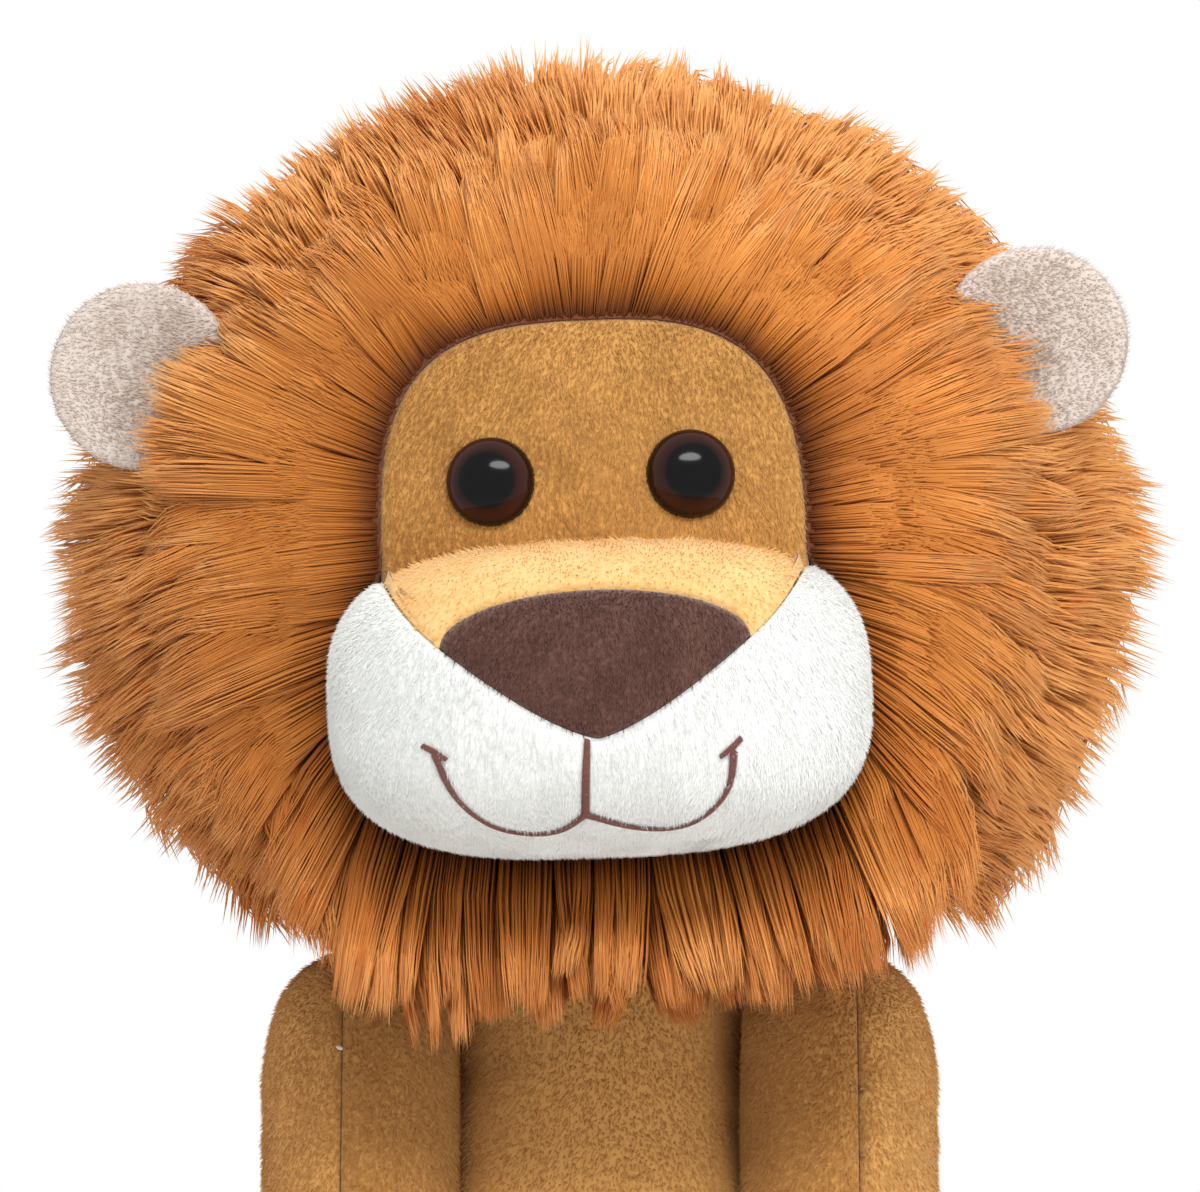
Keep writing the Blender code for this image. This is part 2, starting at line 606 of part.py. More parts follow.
def make_tail():
    place = (0, torso_back(TAIL_ROOT_HEIGHT) + GAP + TAIL_ROOT_RADIUS, TAIL_ROOT_HEIGHT)
    joint = joint_at("tail_joint", place)
    below_floor = beyond("tail_below_floor", "Z", -TAIL_ROOT_HEIGHT, -1, joint)
    outer, end, ahead = tail_form("tail_outer", 0, joint, 0)
    inner = tail_form("tail_inner", FABRIC, joint, OVERRUN)[0]
    filling = tail_form("tail_filling", FABRIC + GAP, joint, 0)[0]
    part("tail_panel", outer, TAN_PLUSH, inner, below_floor)
    part("tail_stuffing", filling, STUFFING)
    sections = []
    for length, width in TUFT_SHARES:
        half = TUFT_RADIUS * width
        centre = end + ahead * (GAP + TUFT_LENGTH * length)
        centre.z = half - PRESSED - TAIL_ROOT_HEIGHT
        sections.append((centre, half, half))
    tuft = loft("tuft_form", sections, (0, 0, 1), joint, sides=12, facing=ahead)
    part("tail_tuft", tuft, MANE_FUR, below_floor)


def head_form(name, inset, joint):
    halves = (HEAD_HALF_WIDTH - inset, HEAD_HALF_DEPTH - inset, HEAD_HALF_HEIGHT - inset)
    powers = (HEAD_POWER, HEAD_POWER)
    return puffed(name, (0, -HEAD_FORWARD, 0), halves, joint, powers, segments=20, rings=14)


def muzzle_form(name, inset, joint):
    centre = (0, -HEAD_FORWARD - MUZZLE_FORWARD, -MUZZLE_DROP)
    halves = (MUZZLE_HALF_WIDTH - inset, MUZZLE_HALF_DEPTH - inset, MUZZLE_HALF_HEIGHT - inset)
    powers = (MUZZLE_FRONT_POWER, MUZZLE_DEPTH_POWER)
    return puffed(name, centre, halves, joint, powers, segments=24, rings=12)


def mane_form(name, joint):
    """The fur all round the head, as deep as its pile."""
    halves = (
        HEAD_HALF_WIDTH + PILE_SIDE,
        HEAD_HALF_DEPTH + (PILE_FRONT + PILE_BACK) / 2,
        HEAD_HALF_HEIGHT + PILE_TOP,
    )
    centre = (0, -HEAD_FORWARD + (PILE_BACK - PILE_FRONT) / 2, 0)
    return puffed(name, centre, halves, joint, segments=26, rings=16)


def forehead_outline():
    """An arch over the eyes, with straight sides down behind the muzzle."""
    points = []
    for step in range(ARCH_STEPS + 1):
        angle = math.pi * step / ARCH_STEPS
        across, up = math.cos(angle), math.sin(angle)
        x = math.copysign(abs(across) ** (2 / FOREHEAD_POWER), across) * FOREHEAD_HALF_WIDTH
        points.append((x, up ** (2 / FOREHEAD_POWER) * FOREHEAD_HEIGHT))
    foot = -MUZZLE_DROP
    return [(FOREHEAD_HALF_WIDTH, foot), *points, (-FOREHEAD_HALF_WIDTH, foot)]


def muzzle_outline():
    points = []
    for step in range(MUZZLE_STEPS):
        angle = 2 * math.pi * step / MUZZLE_STEPS
        across, up = math.cos(angle), math.sin(angle)
        x = math.copysign(abs(across) ** (2 / MUZZLE_FRONT_POWER), across) * MUZZLE_HALF_WIDTH
        z = math.copysign(abs(up) ** (2 / MUZZLE_FRONT_POWER), up) * MUZZLE_HALF_HEIGHT
        points.append((x, z - MUZZLE_DROP))
    return points


def nose_outline():
    """A wide nose: an arc over its top, and sides that bow down to its tip."""
    top, bottom = [], []
    for step in range(1, NOSE_TOP_STEPS):
        angle = math.pi * step / NOSE_TOP_STEPS
        x = NOSE_HALF_WIDTH * math.cos(angle)
        top.append((x, NOSE_CORNER + (NOSE_TOP - NOSE_CORNER) * math.sin(angle) - MUZZLE_DROP))
    for step in range(-NOSE_SIDE_STEPS, NOSE_SIDE_STEPS + 1):
        across = step / NOSE_SIDE_STEPS
        z = NOSE_TIP + (NOSE_CORNER - NOSE_TIP) * abs(across) ** NOSE_POWER
        bottom.append((NOSE_HALF_WIDTH * across, z - MUZZLE_DROP))
    return top + bottom


def bridge_outline():
    """The panel between the forehead seam and the corners of the nose."""
    corner = BRIDGE_CORNER - MUZZLE_DROP
    over = MUZZLE_HALF_HEIGHT + OVERRUN - MUZZLE_DROP
    inner = (NOSE_HALF_WIDTH + BRIDGE_HALF_WIDTH) / 2 + GAP
    knee = (NOSE_CORNER + BRIDGE_CORNER) / 2 - BRIDGE_BOW - MUZZLE_DROP
    tip = NOSE_CORNER - MUZZLE_DROP
    wide = BRIDGE_HALF_WIDTH
    right = [(NOSE_HALF_WIDTH, tip), (inner, knee), (wide, corner), (wide, over)]
    return [*right, *[(-x, z) for x, z in reversed(right)]]


def eye_place(side):
    """The point on the forehead under an eye's middle, and the direction out of it."""
    x = side * EYE_OUT
    shares = abs(x) / HEAD_HALF_WIDTH, EYE_RISE / HEAD_HALF_HEIGHT
    depth = (1 - shares[0] ** HEAD_POWER - shares[1] ** HEAD_POWER) ** (1 / HEAD_POWER)
    power = HEAD_POWER - 1
    out = Vector(
        (
            side * shares[0] ** power / HEAD_HALF_WIDTH,
            -(depth**power) / HEAD_HALF_DEPTH,
            shares[1] ** power / HEAD_HALF_HEIGHT,
        )
    )
    return Vector((x, -HEAD_FORWARD - depth * HEAD_HALF_DEPTH, EYE_RISE)), out.normalized()


def washer_depth():
    """How far behind the surface the washer's face lies, clear of the curved fabric."""
    return FABRIC + WASHER_RADIUS**2 / (2 * HEAD_HALF_DEPTH) + GAP


def make_eye(side_name, side, joint):
    """A safety eye and its washer. Gives the cutters of the fabric and of the stuffing."""
    place, out = eye_place(side)
    seat = place - out * EYE_SINK
    dome = []
    for step in range(DOME_STEPS + 1):
        angle = math.pi / 2 * step / DOME_STEPS
        dome.append((EYE_RADIUS * math.sin(angle), EYE_RIM + EYE_DOME * math.cos(angle)))
    shank = [(SHANK_RADIUS, 0), (SHANK_RADIUS, -SHANK_LENGTH), (0, -SHANK_LENGTH)]
    profile = [*dome, (EYE_RADIUS, 0), *shank]
    eye = turned(f"eye_form_{side_name}", profile, False, seat, out, joint)
    part(f"eye_{side_name}", eye, EYE_PLASTIC)

    bore = SHANK_RADIUS + GAP
    top = EYE_SINK - washer_depth()
    bottom = top - WASHER_THICKNESS
    ring = [(bore, top), (WASHER_RADIUS, top), (WASHER_RADIUS, bottom), (bore, bottom)]
    washer = turned(f"washer_form_{side_name}", ring, True, seat, out, joint)
    part(f"eye_washer_{side_name}", washer, WASHER_PLASTIC)

    rim, over = EYE_RADIUS + GAP, EYE_SINK + EYE_DOME
    low = -SHANK_LENGTH - GAP
    pocket = [(0, over), (rim, over), (rim, -GAP), (bore, -GAP), (bore, low), (0, low)]
    wide = WASHER_RADIUS + GAP
    room = [(0, over), (wide, over), (wide, bottom - GAP), (bore, bottom - GAP), (bore, low), (0, low)]
    return (
        turned(f"eye_pocket_{side_name}", pocket, False, seat, out, joint),
        turned(f"washer_room_{side_name}", room, False, seat, out, joint),
    )


def ear_form(name, side, margin, joint):
    """A round ear on a stem from the head, as thick as its two panels."""
    along = Vector((side * math.cos(EAR_RISE), 0, math.sin(EAR_RISE)))
    root = Vector((0, MANE_SPLIT_Y + GAP + EAR_HALF_THICKNESS, 0))
    thick = EAR_HALF_THICKNESS + margin
    stem = EAR_STEM_HALF_WIDTH + margin
    stem_end = EAR_DISTANCE - EAR_RADIUS * EAR_STEM_SHARE
    shoulder = EAR_DISTANCE - EAR_RADIUS * EAR_SHOULDER_SHARE
    shoulder_width = EAR_RADIUS * EAR_SHOULDER_WIDTH_SHARE + margin
    sections = [
        (root + along * (EAR_DISTANCE - EAR_ROOT_DEPTH), thick, stem),
        (root + along * stem_end, thick, stem),
        (root + along * shoulder, thick, shoulder_width),
    ]
    for degrees in EAR_TIP_DEGREES:
        angle = math.radians(degrees)
        reach = EAR_DISTANCE + (EAR_RADIUS + margin) * math.sin(angle)
        narrow = math.cos(angle) ** EAR_EDGE_POWER
        sections.append((root + along * reach, thick * narrow, (EAR_RADIUS + margin) * math.cos(angle)))
    return loft(name, sections, (0, 1, 0), joint, sides=12)


def make_ear(side_name, side, joint, head_room):
    """An ear's two panels. Gives the room that the back mane leaves for it."""
    form = ear_form(f"ear_form_{side_name}", side, 0, joint)
    middle = MANE_SPLIT_Y + GAP + EAR_HALF_THICKNESS
    behind = beyond(f"behind_ear_seam_{side_name}", "Y", middle - GAP / 2, 1, joint)
    before = beyond(f"before_ear_seam_{side_name}", "Y", middle + GAP / 2, -1, joint)
    part(f"ear_front_{side_name}", form, EAR_PLUSH, head_room, behind)
    part(f"ear_back_{side_name}", form, EAR_PLUSH, head_room, before)
    return ear_form(f"ear_room_{side_name}", side, GAP, joint)


def make_head():
    joint = joint_at("head_joint", (0, 0, HEAD_HEIGHT), (0, HEAD_TILT, HEAD_TURN))
    head_outer = head_form("head_outer", 0, joint)
    head_inner = head_form("head_inner", FABRIC, joint)
    muzzle_outer = muzzle_form("muzzle_outer", 0, joint)
    muzzle_inner = muzzle_form("muzzle_inner", FABRIC, joint)
    muzzle_room = muzzle_form("muzzle_room", -GAP, joint)
    pockets = [make_eye(side_name, side, joint) for side_name, side in SIDES.items()]
    ears = [make_ear(side_name, side, joint, head_inner) for side_name, side in SIDES.items()]

    forehead = prism("forehead_outline", forehead_outline(), joint)
    bridge = prism("bridge_outline", bridge_outline(), joint)
    nose = prism("nose_outline", nose_outline(), joint)
    nose_room = prism("nose_room", grown(nose_outline(), GAP), joint)
    bridge_room = prism("bridge_room", grown(bridge_outline(), GAP), joint)
    forehead_panel = part("forehead_panel", head_outer, FOREHEAD_PLUSH, head_inner)
    cut(forehead_panel, forehead, operation="INTERSECT")
    cut(forehead_panel, muzzle_room, *[pocket for pocket, _ in pockets])
    bridge_panel = part("bridge_panel", muzzle_outer, BRIDGE_PLUSH, muzzle_inner, head_inner)
    cut(bridge_panel, bridge, operation="INTERSECT")
    cut(bridge_panel, nose_room)
    nose_panel = part("nose_panel", muzzle_outer, NOSE_PLUSH, muzzle_inner, head_inner)
    cut(nose_panel, nose, operation="INTERSECT")
    muzzle_panel = part("muzzle_panel", muzzle_outer, MUZZLE_PLUSH, muzzle_inner, head_inner)
    cut(muzzle_panel, nose_room, bridge_room)

    neck_hole = cylinder("neck_hole", (0, 0, 0), (0, 0, NECK_HEIGHT + GAP), NECK_HOLE_RADIUS)
    filling = head_form("head_filling", FABRIC + GAP, joint)
    cut(filling, muzzle_form("muzzle_filling", FABRIC + GAP, joint), operation="UNION")
    part("head_stuffing", filling, STUFFING, neck_hole, *[room for _, room in pockets])

    turning_room = cylinder("turning_room", (0, 0, 0), (0, 0, MANE_FLOOR), TURN_RADIUS, segments=40)
    mane = mane_form("mane_form", joint)
    face_room = flared("forehead_slope", forehead_outline(), joint)
    cut(face_room, flared("muzzle_slope", muzzle_outline(), joint), operation="UNION")
    cut(face_room, head_form("fur_backing", -FUR_BACKING, joint))
    for outline_name, outline in (("forehead", forehead_outline()), ("muzzle_outline", muzzle_outline())):
        cut(face_room, prism(f"{outline_name}_room", grown(outline, GAP), joint), operation="UNION")
    centre = (0, -TURN_RADIUS - FRINGE_FORWARD, FRINGE_HALF_HEIGHT - FRINGE_DROP)
    halves = (FRINGE_HALF_WIDTH, FRINGE_HALF_DEPTH, FRINGE_HALF_HEIGHT)
    fringe = puffed("fringe_form", centre, halves, joint, segments=20, rings=10)
    behind_split = beyond("behind_mane_seam", "Y", MANE_SPLIT_Y - GAP / 2, 1, joint)
    before_split = beyond("before_mane_seam", "Y", MANE_SPLIT_Y + GAP / 2, -1, joint)
    front = part("mane_front", mane, MANE_FUR)
    cut(front, fringe, operation="UNION")
    cut(front, behind_split, head_inner, face_room, turning_room)
    part("mane_back", mane, MANE_FUR, before_split, head_inner, neck_hole, turning_room, *ears)


for old in list(bpy.data.objects):
    bpy.data.objects.remove(old, do_unlink=True)

PARTS = new_collection("plush_lion")
CUTTERS = new_collection("cutters")

TAN_PLUSH = material("tan plush", "#A87838", 0.9)
FOREHEAD_PLUSH = material("golden tan plush", "#C0873D", 0.9)
BRIDGE_PLUSH = material("light gold plush", "#DDA552", 0.85)
NOSE_PLUSH = material("dark brown plush", "#4F302B", 0.9)
MUZZLE_PLUSH = material("white plush", "#ECECEA", 0.9)
EAR_PLUSH = material("cream plush", "#DDD3CC", 0.9)
SOLE_PLUSH = material("gold sole plush", "#D5A35A", 0.9)
MANE_FUR = material("long-pile fur", "#C0703A", 0.8)
STUFFING = material("polyester stuffing", "#F2F2F0", 1.0)
PELLET_CLOTH = material("cotton bag of pellets", "#D8D4CC", 0.9)
EYE_PLASTIC = material("glossy eye plastic", "#2A1A18", 0.08)
WASHER_PLASTIC = material("white washer plastic", "#E6E6E2", 0.5)

make_torso()
for name_of_side, sign in SIDES.items():
    make_front_leg(name_of_side, sign)
    make_hind_leg(name_of_side, sign)
make_tail()
make_head()
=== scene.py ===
"""A seated plush lion with a deep fur mane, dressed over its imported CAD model.

Each sewn panel is a sheet of short-pile plush with its fibres on it, and the mane is long-pile
fur, strand by strand. The lion looks along -Y, its own left side is +X, and lengths are in metres.
"""

import math
from contextlib import contextmanager

import bmesh
import bpy
import numpy as np
from mathutils import Euler, Matrix, Vector, kdtree, noise


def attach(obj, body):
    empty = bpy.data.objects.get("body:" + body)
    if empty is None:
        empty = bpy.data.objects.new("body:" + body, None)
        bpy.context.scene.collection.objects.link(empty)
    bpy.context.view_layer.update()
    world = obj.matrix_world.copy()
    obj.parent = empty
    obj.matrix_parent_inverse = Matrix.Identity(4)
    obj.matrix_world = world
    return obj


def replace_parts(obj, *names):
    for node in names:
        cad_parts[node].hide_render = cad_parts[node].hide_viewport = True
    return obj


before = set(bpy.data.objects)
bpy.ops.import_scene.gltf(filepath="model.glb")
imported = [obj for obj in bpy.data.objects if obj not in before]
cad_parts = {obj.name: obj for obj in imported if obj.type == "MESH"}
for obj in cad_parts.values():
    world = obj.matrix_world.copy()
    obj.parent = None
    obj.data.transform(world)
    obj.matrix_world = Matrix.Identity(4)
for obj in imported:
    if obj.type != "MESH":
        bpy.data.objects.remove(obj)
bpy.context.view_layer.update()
scene = bpy.context.scene

# The noise that locks wander by starts at the same place in every run
noise.seed_set(2)

SIDES = {"left": 1, "right": -1}
DOWN = (0, 0, -1)
WELD = 0.00001
HEAD_TILT = Euler((0, math.radians(-2.3), math.radians(-0.8))).to_matrix().to_4x4()
HEAD = Matrix.Translation((0, 0, 0.188)) @ HEAD_TILT

# The head's rounded form and the fur around it, in the head's own frame
HEAD_CENTRE = np.array((0, -0.022, 0))
HEAD_HALVES = np.array((0.060, 0.055, 0.058))
HEAD_POWERS = (2.5, 2.5)
MANE_CENTRE = np.array((0, -0.008, 0))
MANE_HALVES = np.array((0.092, 0.078, 0.084))
MANE_SEAM_Y = -0.050
EAR_FRONT = -0.055
MANE_TUCK = 0.007
MANE_FLOOR = -0.0610
TURN_RADIUS = 0.064
NECK_RADIUS = 0.024

# Where the fringe ends: its lowest edge, how far forward, and how much deeper its last row lies
FRINGE_LOW = -0.081
FRINGE_FRONT = -0.082
FRINGE_DEPTH = 0.020

# How far strands lean away from their roots and, as a share of the mane's form, how deep they end:
# at a fur's first row, and what is added towards its last one
FRONT_LEAN = (0.031, -0.018)
BACK_LEAN = (0.013, 0.010)
FRONT_DEPTH = 0.965
BACK_DEPTH = (1.005, 0.035)

# The face's panels
FOREHEAD_HALF_WIDTH = 0.035
FOREHEAD_TOP = 0.038
FOREHEAD_POWER = 3.0
MUZZLE_CENTRE = np.array((0, -0.072, -0.0237))
MUZZLE_HALVES = np.array((0.0435, 0.034, 0.0254))
MUZZLE_POWERS = (2.9, 2.4)
NOSE_HALF_WIDTH = 0.0248
NOSE_TOP = 0.0178
NOSE_CORNER = 0.0090
NOSE_TIP = -0.0062
NOSE_POWER = 1.35
BRIDGE_HALF_WIDTH = 0.0345
BRIDGE_CORNER = 0.0205
BRIDGE_BOW = 0.001
EYE_OUT = 0.0162
EYE_RISE = 0.0117
EYE_RADIUS = 0.0072
EYE_DOME = 0.0046
EYE_RIM = 0.0008
EYE_BACK = -0.0002
EYE_SINK = 0.0008
SHANK_RADIUS = 0.002
SHANK_END = -0.0085
FABRIC = 0.0018
SEAM_GAP = 0.00006
SEAM_DEPTH = 0.0007
SEAM_WIDTH = 0.0011

# The mouth's lines as (x, z, half width) from the muzzle's middle, and their stitches
MOUTH_LINES = (
    ((-0.0017, -0.0062, 0.0006), (-0.0022, -0.0120, 0.0008), (-0.0026, -0.0179, 0.0008)),
    (
        (-0.0026, -0.0179, 0.0008), (-0.0065, -0.0206, 0.0006), (-0.0115, -0.0210, 0.0004),
        (-0.0178, -0.0195, 0.0004), (-0.0232, -0.0146, 0.0006), (-0.0257, -0.0078, 0.0008),
    ),
    ((-0.0276, -0.0062, 0.0006), (-0.0258, -0.0072, 0.0007), (-0.0240, -0.0084, 0.0005)),
    (
        (-0.0026, -0.0179, 0.0008), (0.0046, -0.0204, 0.0006), (0.0108, -0.0210, 0.0004),
        (0.0158, -0.0196, 0.0004), (0.0204, -0.0150, 0.0006), (0.0211, -0.0088, 0.0008),
    ),
    ((0.0190, -0.0096, 0.0005), (0.0208, -0.0084, 0.0007), (0.0224, -0.0068, 0.0006)),
)
MOUTH_PITCH = 0.00030
MOUTH_HEIGHT = 0.0004

# Short pile: how far its fibres rise and lie over, how they bend, how broad and how uneven they are
PILE_RISE = 0.0007
PILE_LIE = 0.0009
PILE_MIDDLE = 0.0006
PILE_WIDTH = 0.00012
PILE_STRAY = 0.0003

# Ears: the angle and distance of their middles, and their round part, stem, cup and thickness
EAR_ANGLE = math.radians(23.4)
EAR_REACH = 0.0806
EAR_RADIUS = 0.016
EAR_STEM = 0.011
EAR_ROOT = 0.045
EAR_CUP = 0.0042
EAR_PUFF = 0.0026

# The tail's tuft: the way it points, its strands' length, spread and stray, and how far it laps over
TUFT_WAY = (0.45, 1.0, 0)
TUFT_LENGTH = 0.020
TUFT_SPREAD = 0.0055
TUFT_STRAY = 0.001
TUFT_LAP = 0.0055

# The body's seams: heights of the seat's, depths of the side and the sole, and the arms' distance
SEAT_SEAM = 0.008
SIDE_SEAM = 0.004
SOLE_SEAM = -0.0676
ARM_SEAM = 0.0435

# Heights of the hand stitches on the right arm's front seam, and half their length and thickness
CLOSING_STITCHES = (0.1045, 0.0985, 0.0962)
CLOSING_HALF = 0.0007
CLOSING_THREAD = 0.0004

# A skin starts this much smaller, and its stuffing moves it no further than this
STUFFING_START = 0.0008
STUFFING_CAP = 0.0016
STUFFING_FRAMES = 20
STUFFING_PRESSURE = 40
STUFFING_GROWTH = 0.05
CLOTH_MASS = 0.02

# Skins and fibres stay this far above the floor
FLOOR_GAP = 0.0005

# Strands and tufts on each square metre
FRONT_STRANDS = 4_700_000.0
BACK_STRANDS = 800_000.0
FUR_TUFTS = 55_000.0
FACE_STRANDS = 4_600_000.0
NAP_STRANDS = 900_000.0
EAR_STRANDS = 3_500_000.0
BODY_STRANDS = 3_600_000.0
TUFT_STRANDS = 1_800_000.0
TAIL_TUFTS = 120_000.0

# The picture: how wide a strip it shows at the mane, and from how far
PICTURE_WIDTH = 0.204
PICTURE_DISTANCE = 1.1
CAMERA = (0, -1.12, 0.1806)
SENSOR = 36
LIT_POINT = Vector((0, 0, 0.17))
LAMPS = (
    ("key", (0.12, -0.95, 0.85), (0.70, 0.28), 7.8),
    ("fill", (0.8, -1.0, 0.35), (0.9, 0.9), 3.6),
    ("top", (0.1, 0.35, 1.1), (0.9, 0.9), 4.5),
)
WORLD_LIGHT = 0.6
FLOOR_HALF = 0.6

# Kinds of node that are used often
MATHS = "ShaderNodeMath"
VECTORS = "ShaderNodeVectorMath"
MIX = "ShaderNodeMix"
RAMP = "ShaderNodeValToRGB"
NOISE = "ShaderNodeTexNoise"
BUMP = "ShaderNodeBump"
COORDINATES = "ShaderNodeTexCoord"
RANDOM = "FunctionNodeRandomValue"
NAMED = "GeometryNodeInputNamedAttribute"
KEPT = "GeometryNodeStoreNamedAttribute"
SCATTER = "GeometryNodeDistributePointsOnFaces"
VECTOR = "FLOAT_VECTOR"
STRAND_SIZES = ("Strands", "Tufts", "Width", "Gather", "Uneven tufts", "Uneven strands", "Stray", "Sway")
WORKING = ("aim", "rise", "thick", "tone", "root", "shade", "rung", "across", "along", "out")


def colour(code):
    """An sRGB hex colour as linear red, green, blue and alpha."""
    values = (int(code[i : i + 2], 16) / 255 for i in (1, 3, 5))
    return [v / 12.92 if v <= 0.04045 else ((v + 0.055) / 1.055) ** 2.4 for v in values] + [1]


def add(tree, kind, inputs=None, stops=(), **settings):
    """Adds a node. Inputs are given by name or number, as a value, a node or a socket.

    A colour ramp also takes its stops: positions and hex colours.
    """
    made = tree.nodes.new(kind)
    for name, value in settings.items():
        setattr(made, name, value)
    for key, value in (inputs or {}).items():
        if isinstance(value, bpy.types.Node):
            value = next(socket for socket in value.outputs if socket.enabled)
        if isinstance(value, bpy.types.NodeSocket):
            tree.links.new(value, made.inputs[key])
        else:
            made.inputs[key].default_value = value
    for number, (position, code) in enumerate(stops):
        elements = made.color_ramp.elements
        if number == 0:
            elements.remove(elements[1])
            elements[0].position = position
        stop = elements[0] if number == 0 else elements.new(position)
        stop.color = colour(code)
    return made


def smooth_step(low, high, value):
    share = np.clip((value - low) / (high - low), 0, 1)
    return share * share * (3 - 2 * share)


def wander(points, size, amount, seed=0):
    """A smooth random offset for each point, which changes over a distance of size."""
    shift = Vector((seed * 7.3, seed * 3.1, seed * 5.7))
    return np.array([noise.noise_vector(Vector(p) / size + shift) for p in points]) * amount


def distances(points, places):
    """How far each point lies from the nearest of some places."""
    tree = kdtree.KDTree(len(places))
    for i, place in enumerate(places):
        tree.insert(place, i)
    tree.balance()
    return np.array([tree.find(p)[2] for p in points])


def unit(vectors):
    return vectors / np.maximum(np.linalg.norm(vectors, axis=-1, keepdims=True), 1e-9)


# Materials

def new_material(name, sockets):
    """A new material whose shader has these values set on its own sockets."""
    made = bpy.data.materials.new(name)
    made.use_nodes = True
    shader = made.node_tree.nodes["Principled BSDF"]
    for label, value in sockets.items():
        shader.inputs[label].default_value = value
    return made, made.node_tree, shader


def plush_cloth(name, dark, light):
    """Short-pile plush seen between its fibres: darker and lighter where the pile is pushed about, and with
    the painted shade and painted light that its tone carries.
    """
    finish = {"Roughness": 0.95, "Specular IOR Level": 0.2, "Sheen Weight": 0.2, "Sheen Roughness": 0.6}
    made, tree, shader = new_material(name, finish)
    place = add(tree, COORDINATES).outputs["Object"]
    patches = add(tree, NOISE, {"Vector": place, "Scale": 160, "Detail": 3})
    pile = add(tree, NOISE, {"Vector": place, "Scale": 1300, "Detail": 2})
    both = add(tree, MIX, {0: 0.8, 2: patches.outputs[0], 3: pile.outputs[0]}, data_type="FLOAT")
    tone = add(tree, "ShaderNodeAttribute", attribute_name="tone").outputs["Fac"]
    both = add(tree, MATHS, {0: tone, 1: 0.35, 2: both}, operation="MULTIPLY_ADD")
    shades = add(tree, RAMP, {0: both}, ((0.48, dark), (0.80, light)))
    bump = add(tree, BUMP, {"Strength": 0.35, "Distance": 0.0004, "Height": pile.outputs[0]})
    tree.links.new(shades.outputs[0], shader.inputs["Base Color"])
    tree.links.new(bump.outputs[0], shader.inputs["Normal"])
    return made


def fibre(name, dark, light, roughness):
    """Fibres shade from root to tip, and each one lies somewhere between a dark and a light one."""
    made, tree, shader = new_material(name, {"Roughness": roughness, "Specular IOR Level": 0.2})
    place = add(tree, "ShaderNodeUVMap", uv_map="OFBake")
    strip = add(tree, "ShaderNodeSeparateXYZ", {0: place})
    finer = add(tree, VECTORS, {0: place, 1: (90, 3, 1)}, operation="MULTIPLY")
    streaks = add(tree, NOISE, {"Vector": finer, "Scale": 1.0, "Detail": 1})
    streaks = add(tree, MATHS, {0: streaks.outputs[0], 1: 0.5}, operation="SUBTRACT")
    streaked = {0: streaks, 1: 0.5, 2: strip.outputs[0]}
    tone = add(tree, MATHS, streaked, operation="MULTIPLY_ADD", use_clamp=True)
    low = add(tree, RAMP, {0: strip.outputs[1]}, dark)
    high = add(tree, RAMP, {0: strip.outputs[1]}, light)
    shade = add(tree, MIX, {0: tone, 6: low.outputs[0], 7: high.outputs[0]}, data_type="RGBA")
    tree.links.new(shade.outputs[2], shader.inputs["Base Color"])
    return made


def plush(name, dark, light, dark_tip, light_tip):
    """A short-pile plush: its cloth and the pile on it."""
    pile = fibre(f"{name} pile", ((0, dark), (1, dark_tip)), ((0, light), (1, light_tip)), 0.8)
    return plush_cloth(name, dark, light), pile


def eye_plastic():
    """Domed plastic with a black pupil in a dark brown iris, polished so that it mirrors the lamps."""
    finish = {"Roughness": 0.12, "Specular IOR Level": 0.18, "IOR": 1.49}
    made, tree, shader = new_material("moulded eye plastic", finish)
    ring = add(tree, "ShaderNodeAttribute", attribute_name="ring").outputs["Fac"]
    place = add(tree, COORDINATES).outputs["Object"]
    flecks = add(tree, NOISE, {"Vector": place, "Scale": 900, "Detail": 2})
    shifted = add(tree, MATHS, {0: flecks.outputs[0], 1: 0.05, 2: ring}, operation="MULTIPLY_ADD")
    stops = ((0.0, "#030303"), (0.62, "#040303"), (0.72, "#2A120C"), (0.9, "#3A1A12"), (1.0, "#160A08"))
    shades = add(tree, RAMP, {0: shifted}, stops)
    bump = add(tree, BUMP, {"Strength": 0.03, "Distance": 0.0001, "Height": flecks.outputs[0]})
    tree.links.new(shades.outputs[0], shader.inputs["Base Color"])
    tree.links.new(bump.outputs[0], shader.inputs["Normal"])
    return made


def grained(name, sockets, scale, dark, light, relief):
    """A material whose shade and relief both follow one fine grain."""
    made, tree, shader = new_material(name, sockets)
    place = add(tree, COORDINATES).outputs["Object"]
    grain = add(tree, NOISE, {"Vector": place, "Scale": scale, "Detail": 2})
    shades = add(tree, RAMP, {0: grain.outputs[0]}, (dark, light))
    bump = add(tree, BUMP, {"Strength": relief, "Distance": 0.0001, "Height": grain.outputs[0]})
    tree.links.new(shades.outputs[0], shader.inputs["Base Color"])
    tree.links.new(bump.outputs[0], shader.inputs["Normal"])
    return made


# Fur and pile: strands that grow from a base surface

def new_tree(name, start, result, inputs):
    """A tree of geometry nodes that makes a result from a start, with the other values it is given."""
    tree = bpy.data.node_groups.new(name, "GeometryNodeTree")
    for label, kind in ((start, "Geometry"), *inputs.items()):
        tree.interface.new_socket(label, in_out="INPUT", socket_type=f"NodeSocket{kind}")
    tree.interface.new_socket(result, in_out="OUTPUT", socket_type="NodeSocketGeometry")
    return tree, add(tree, "NodeGroupInput").outputs


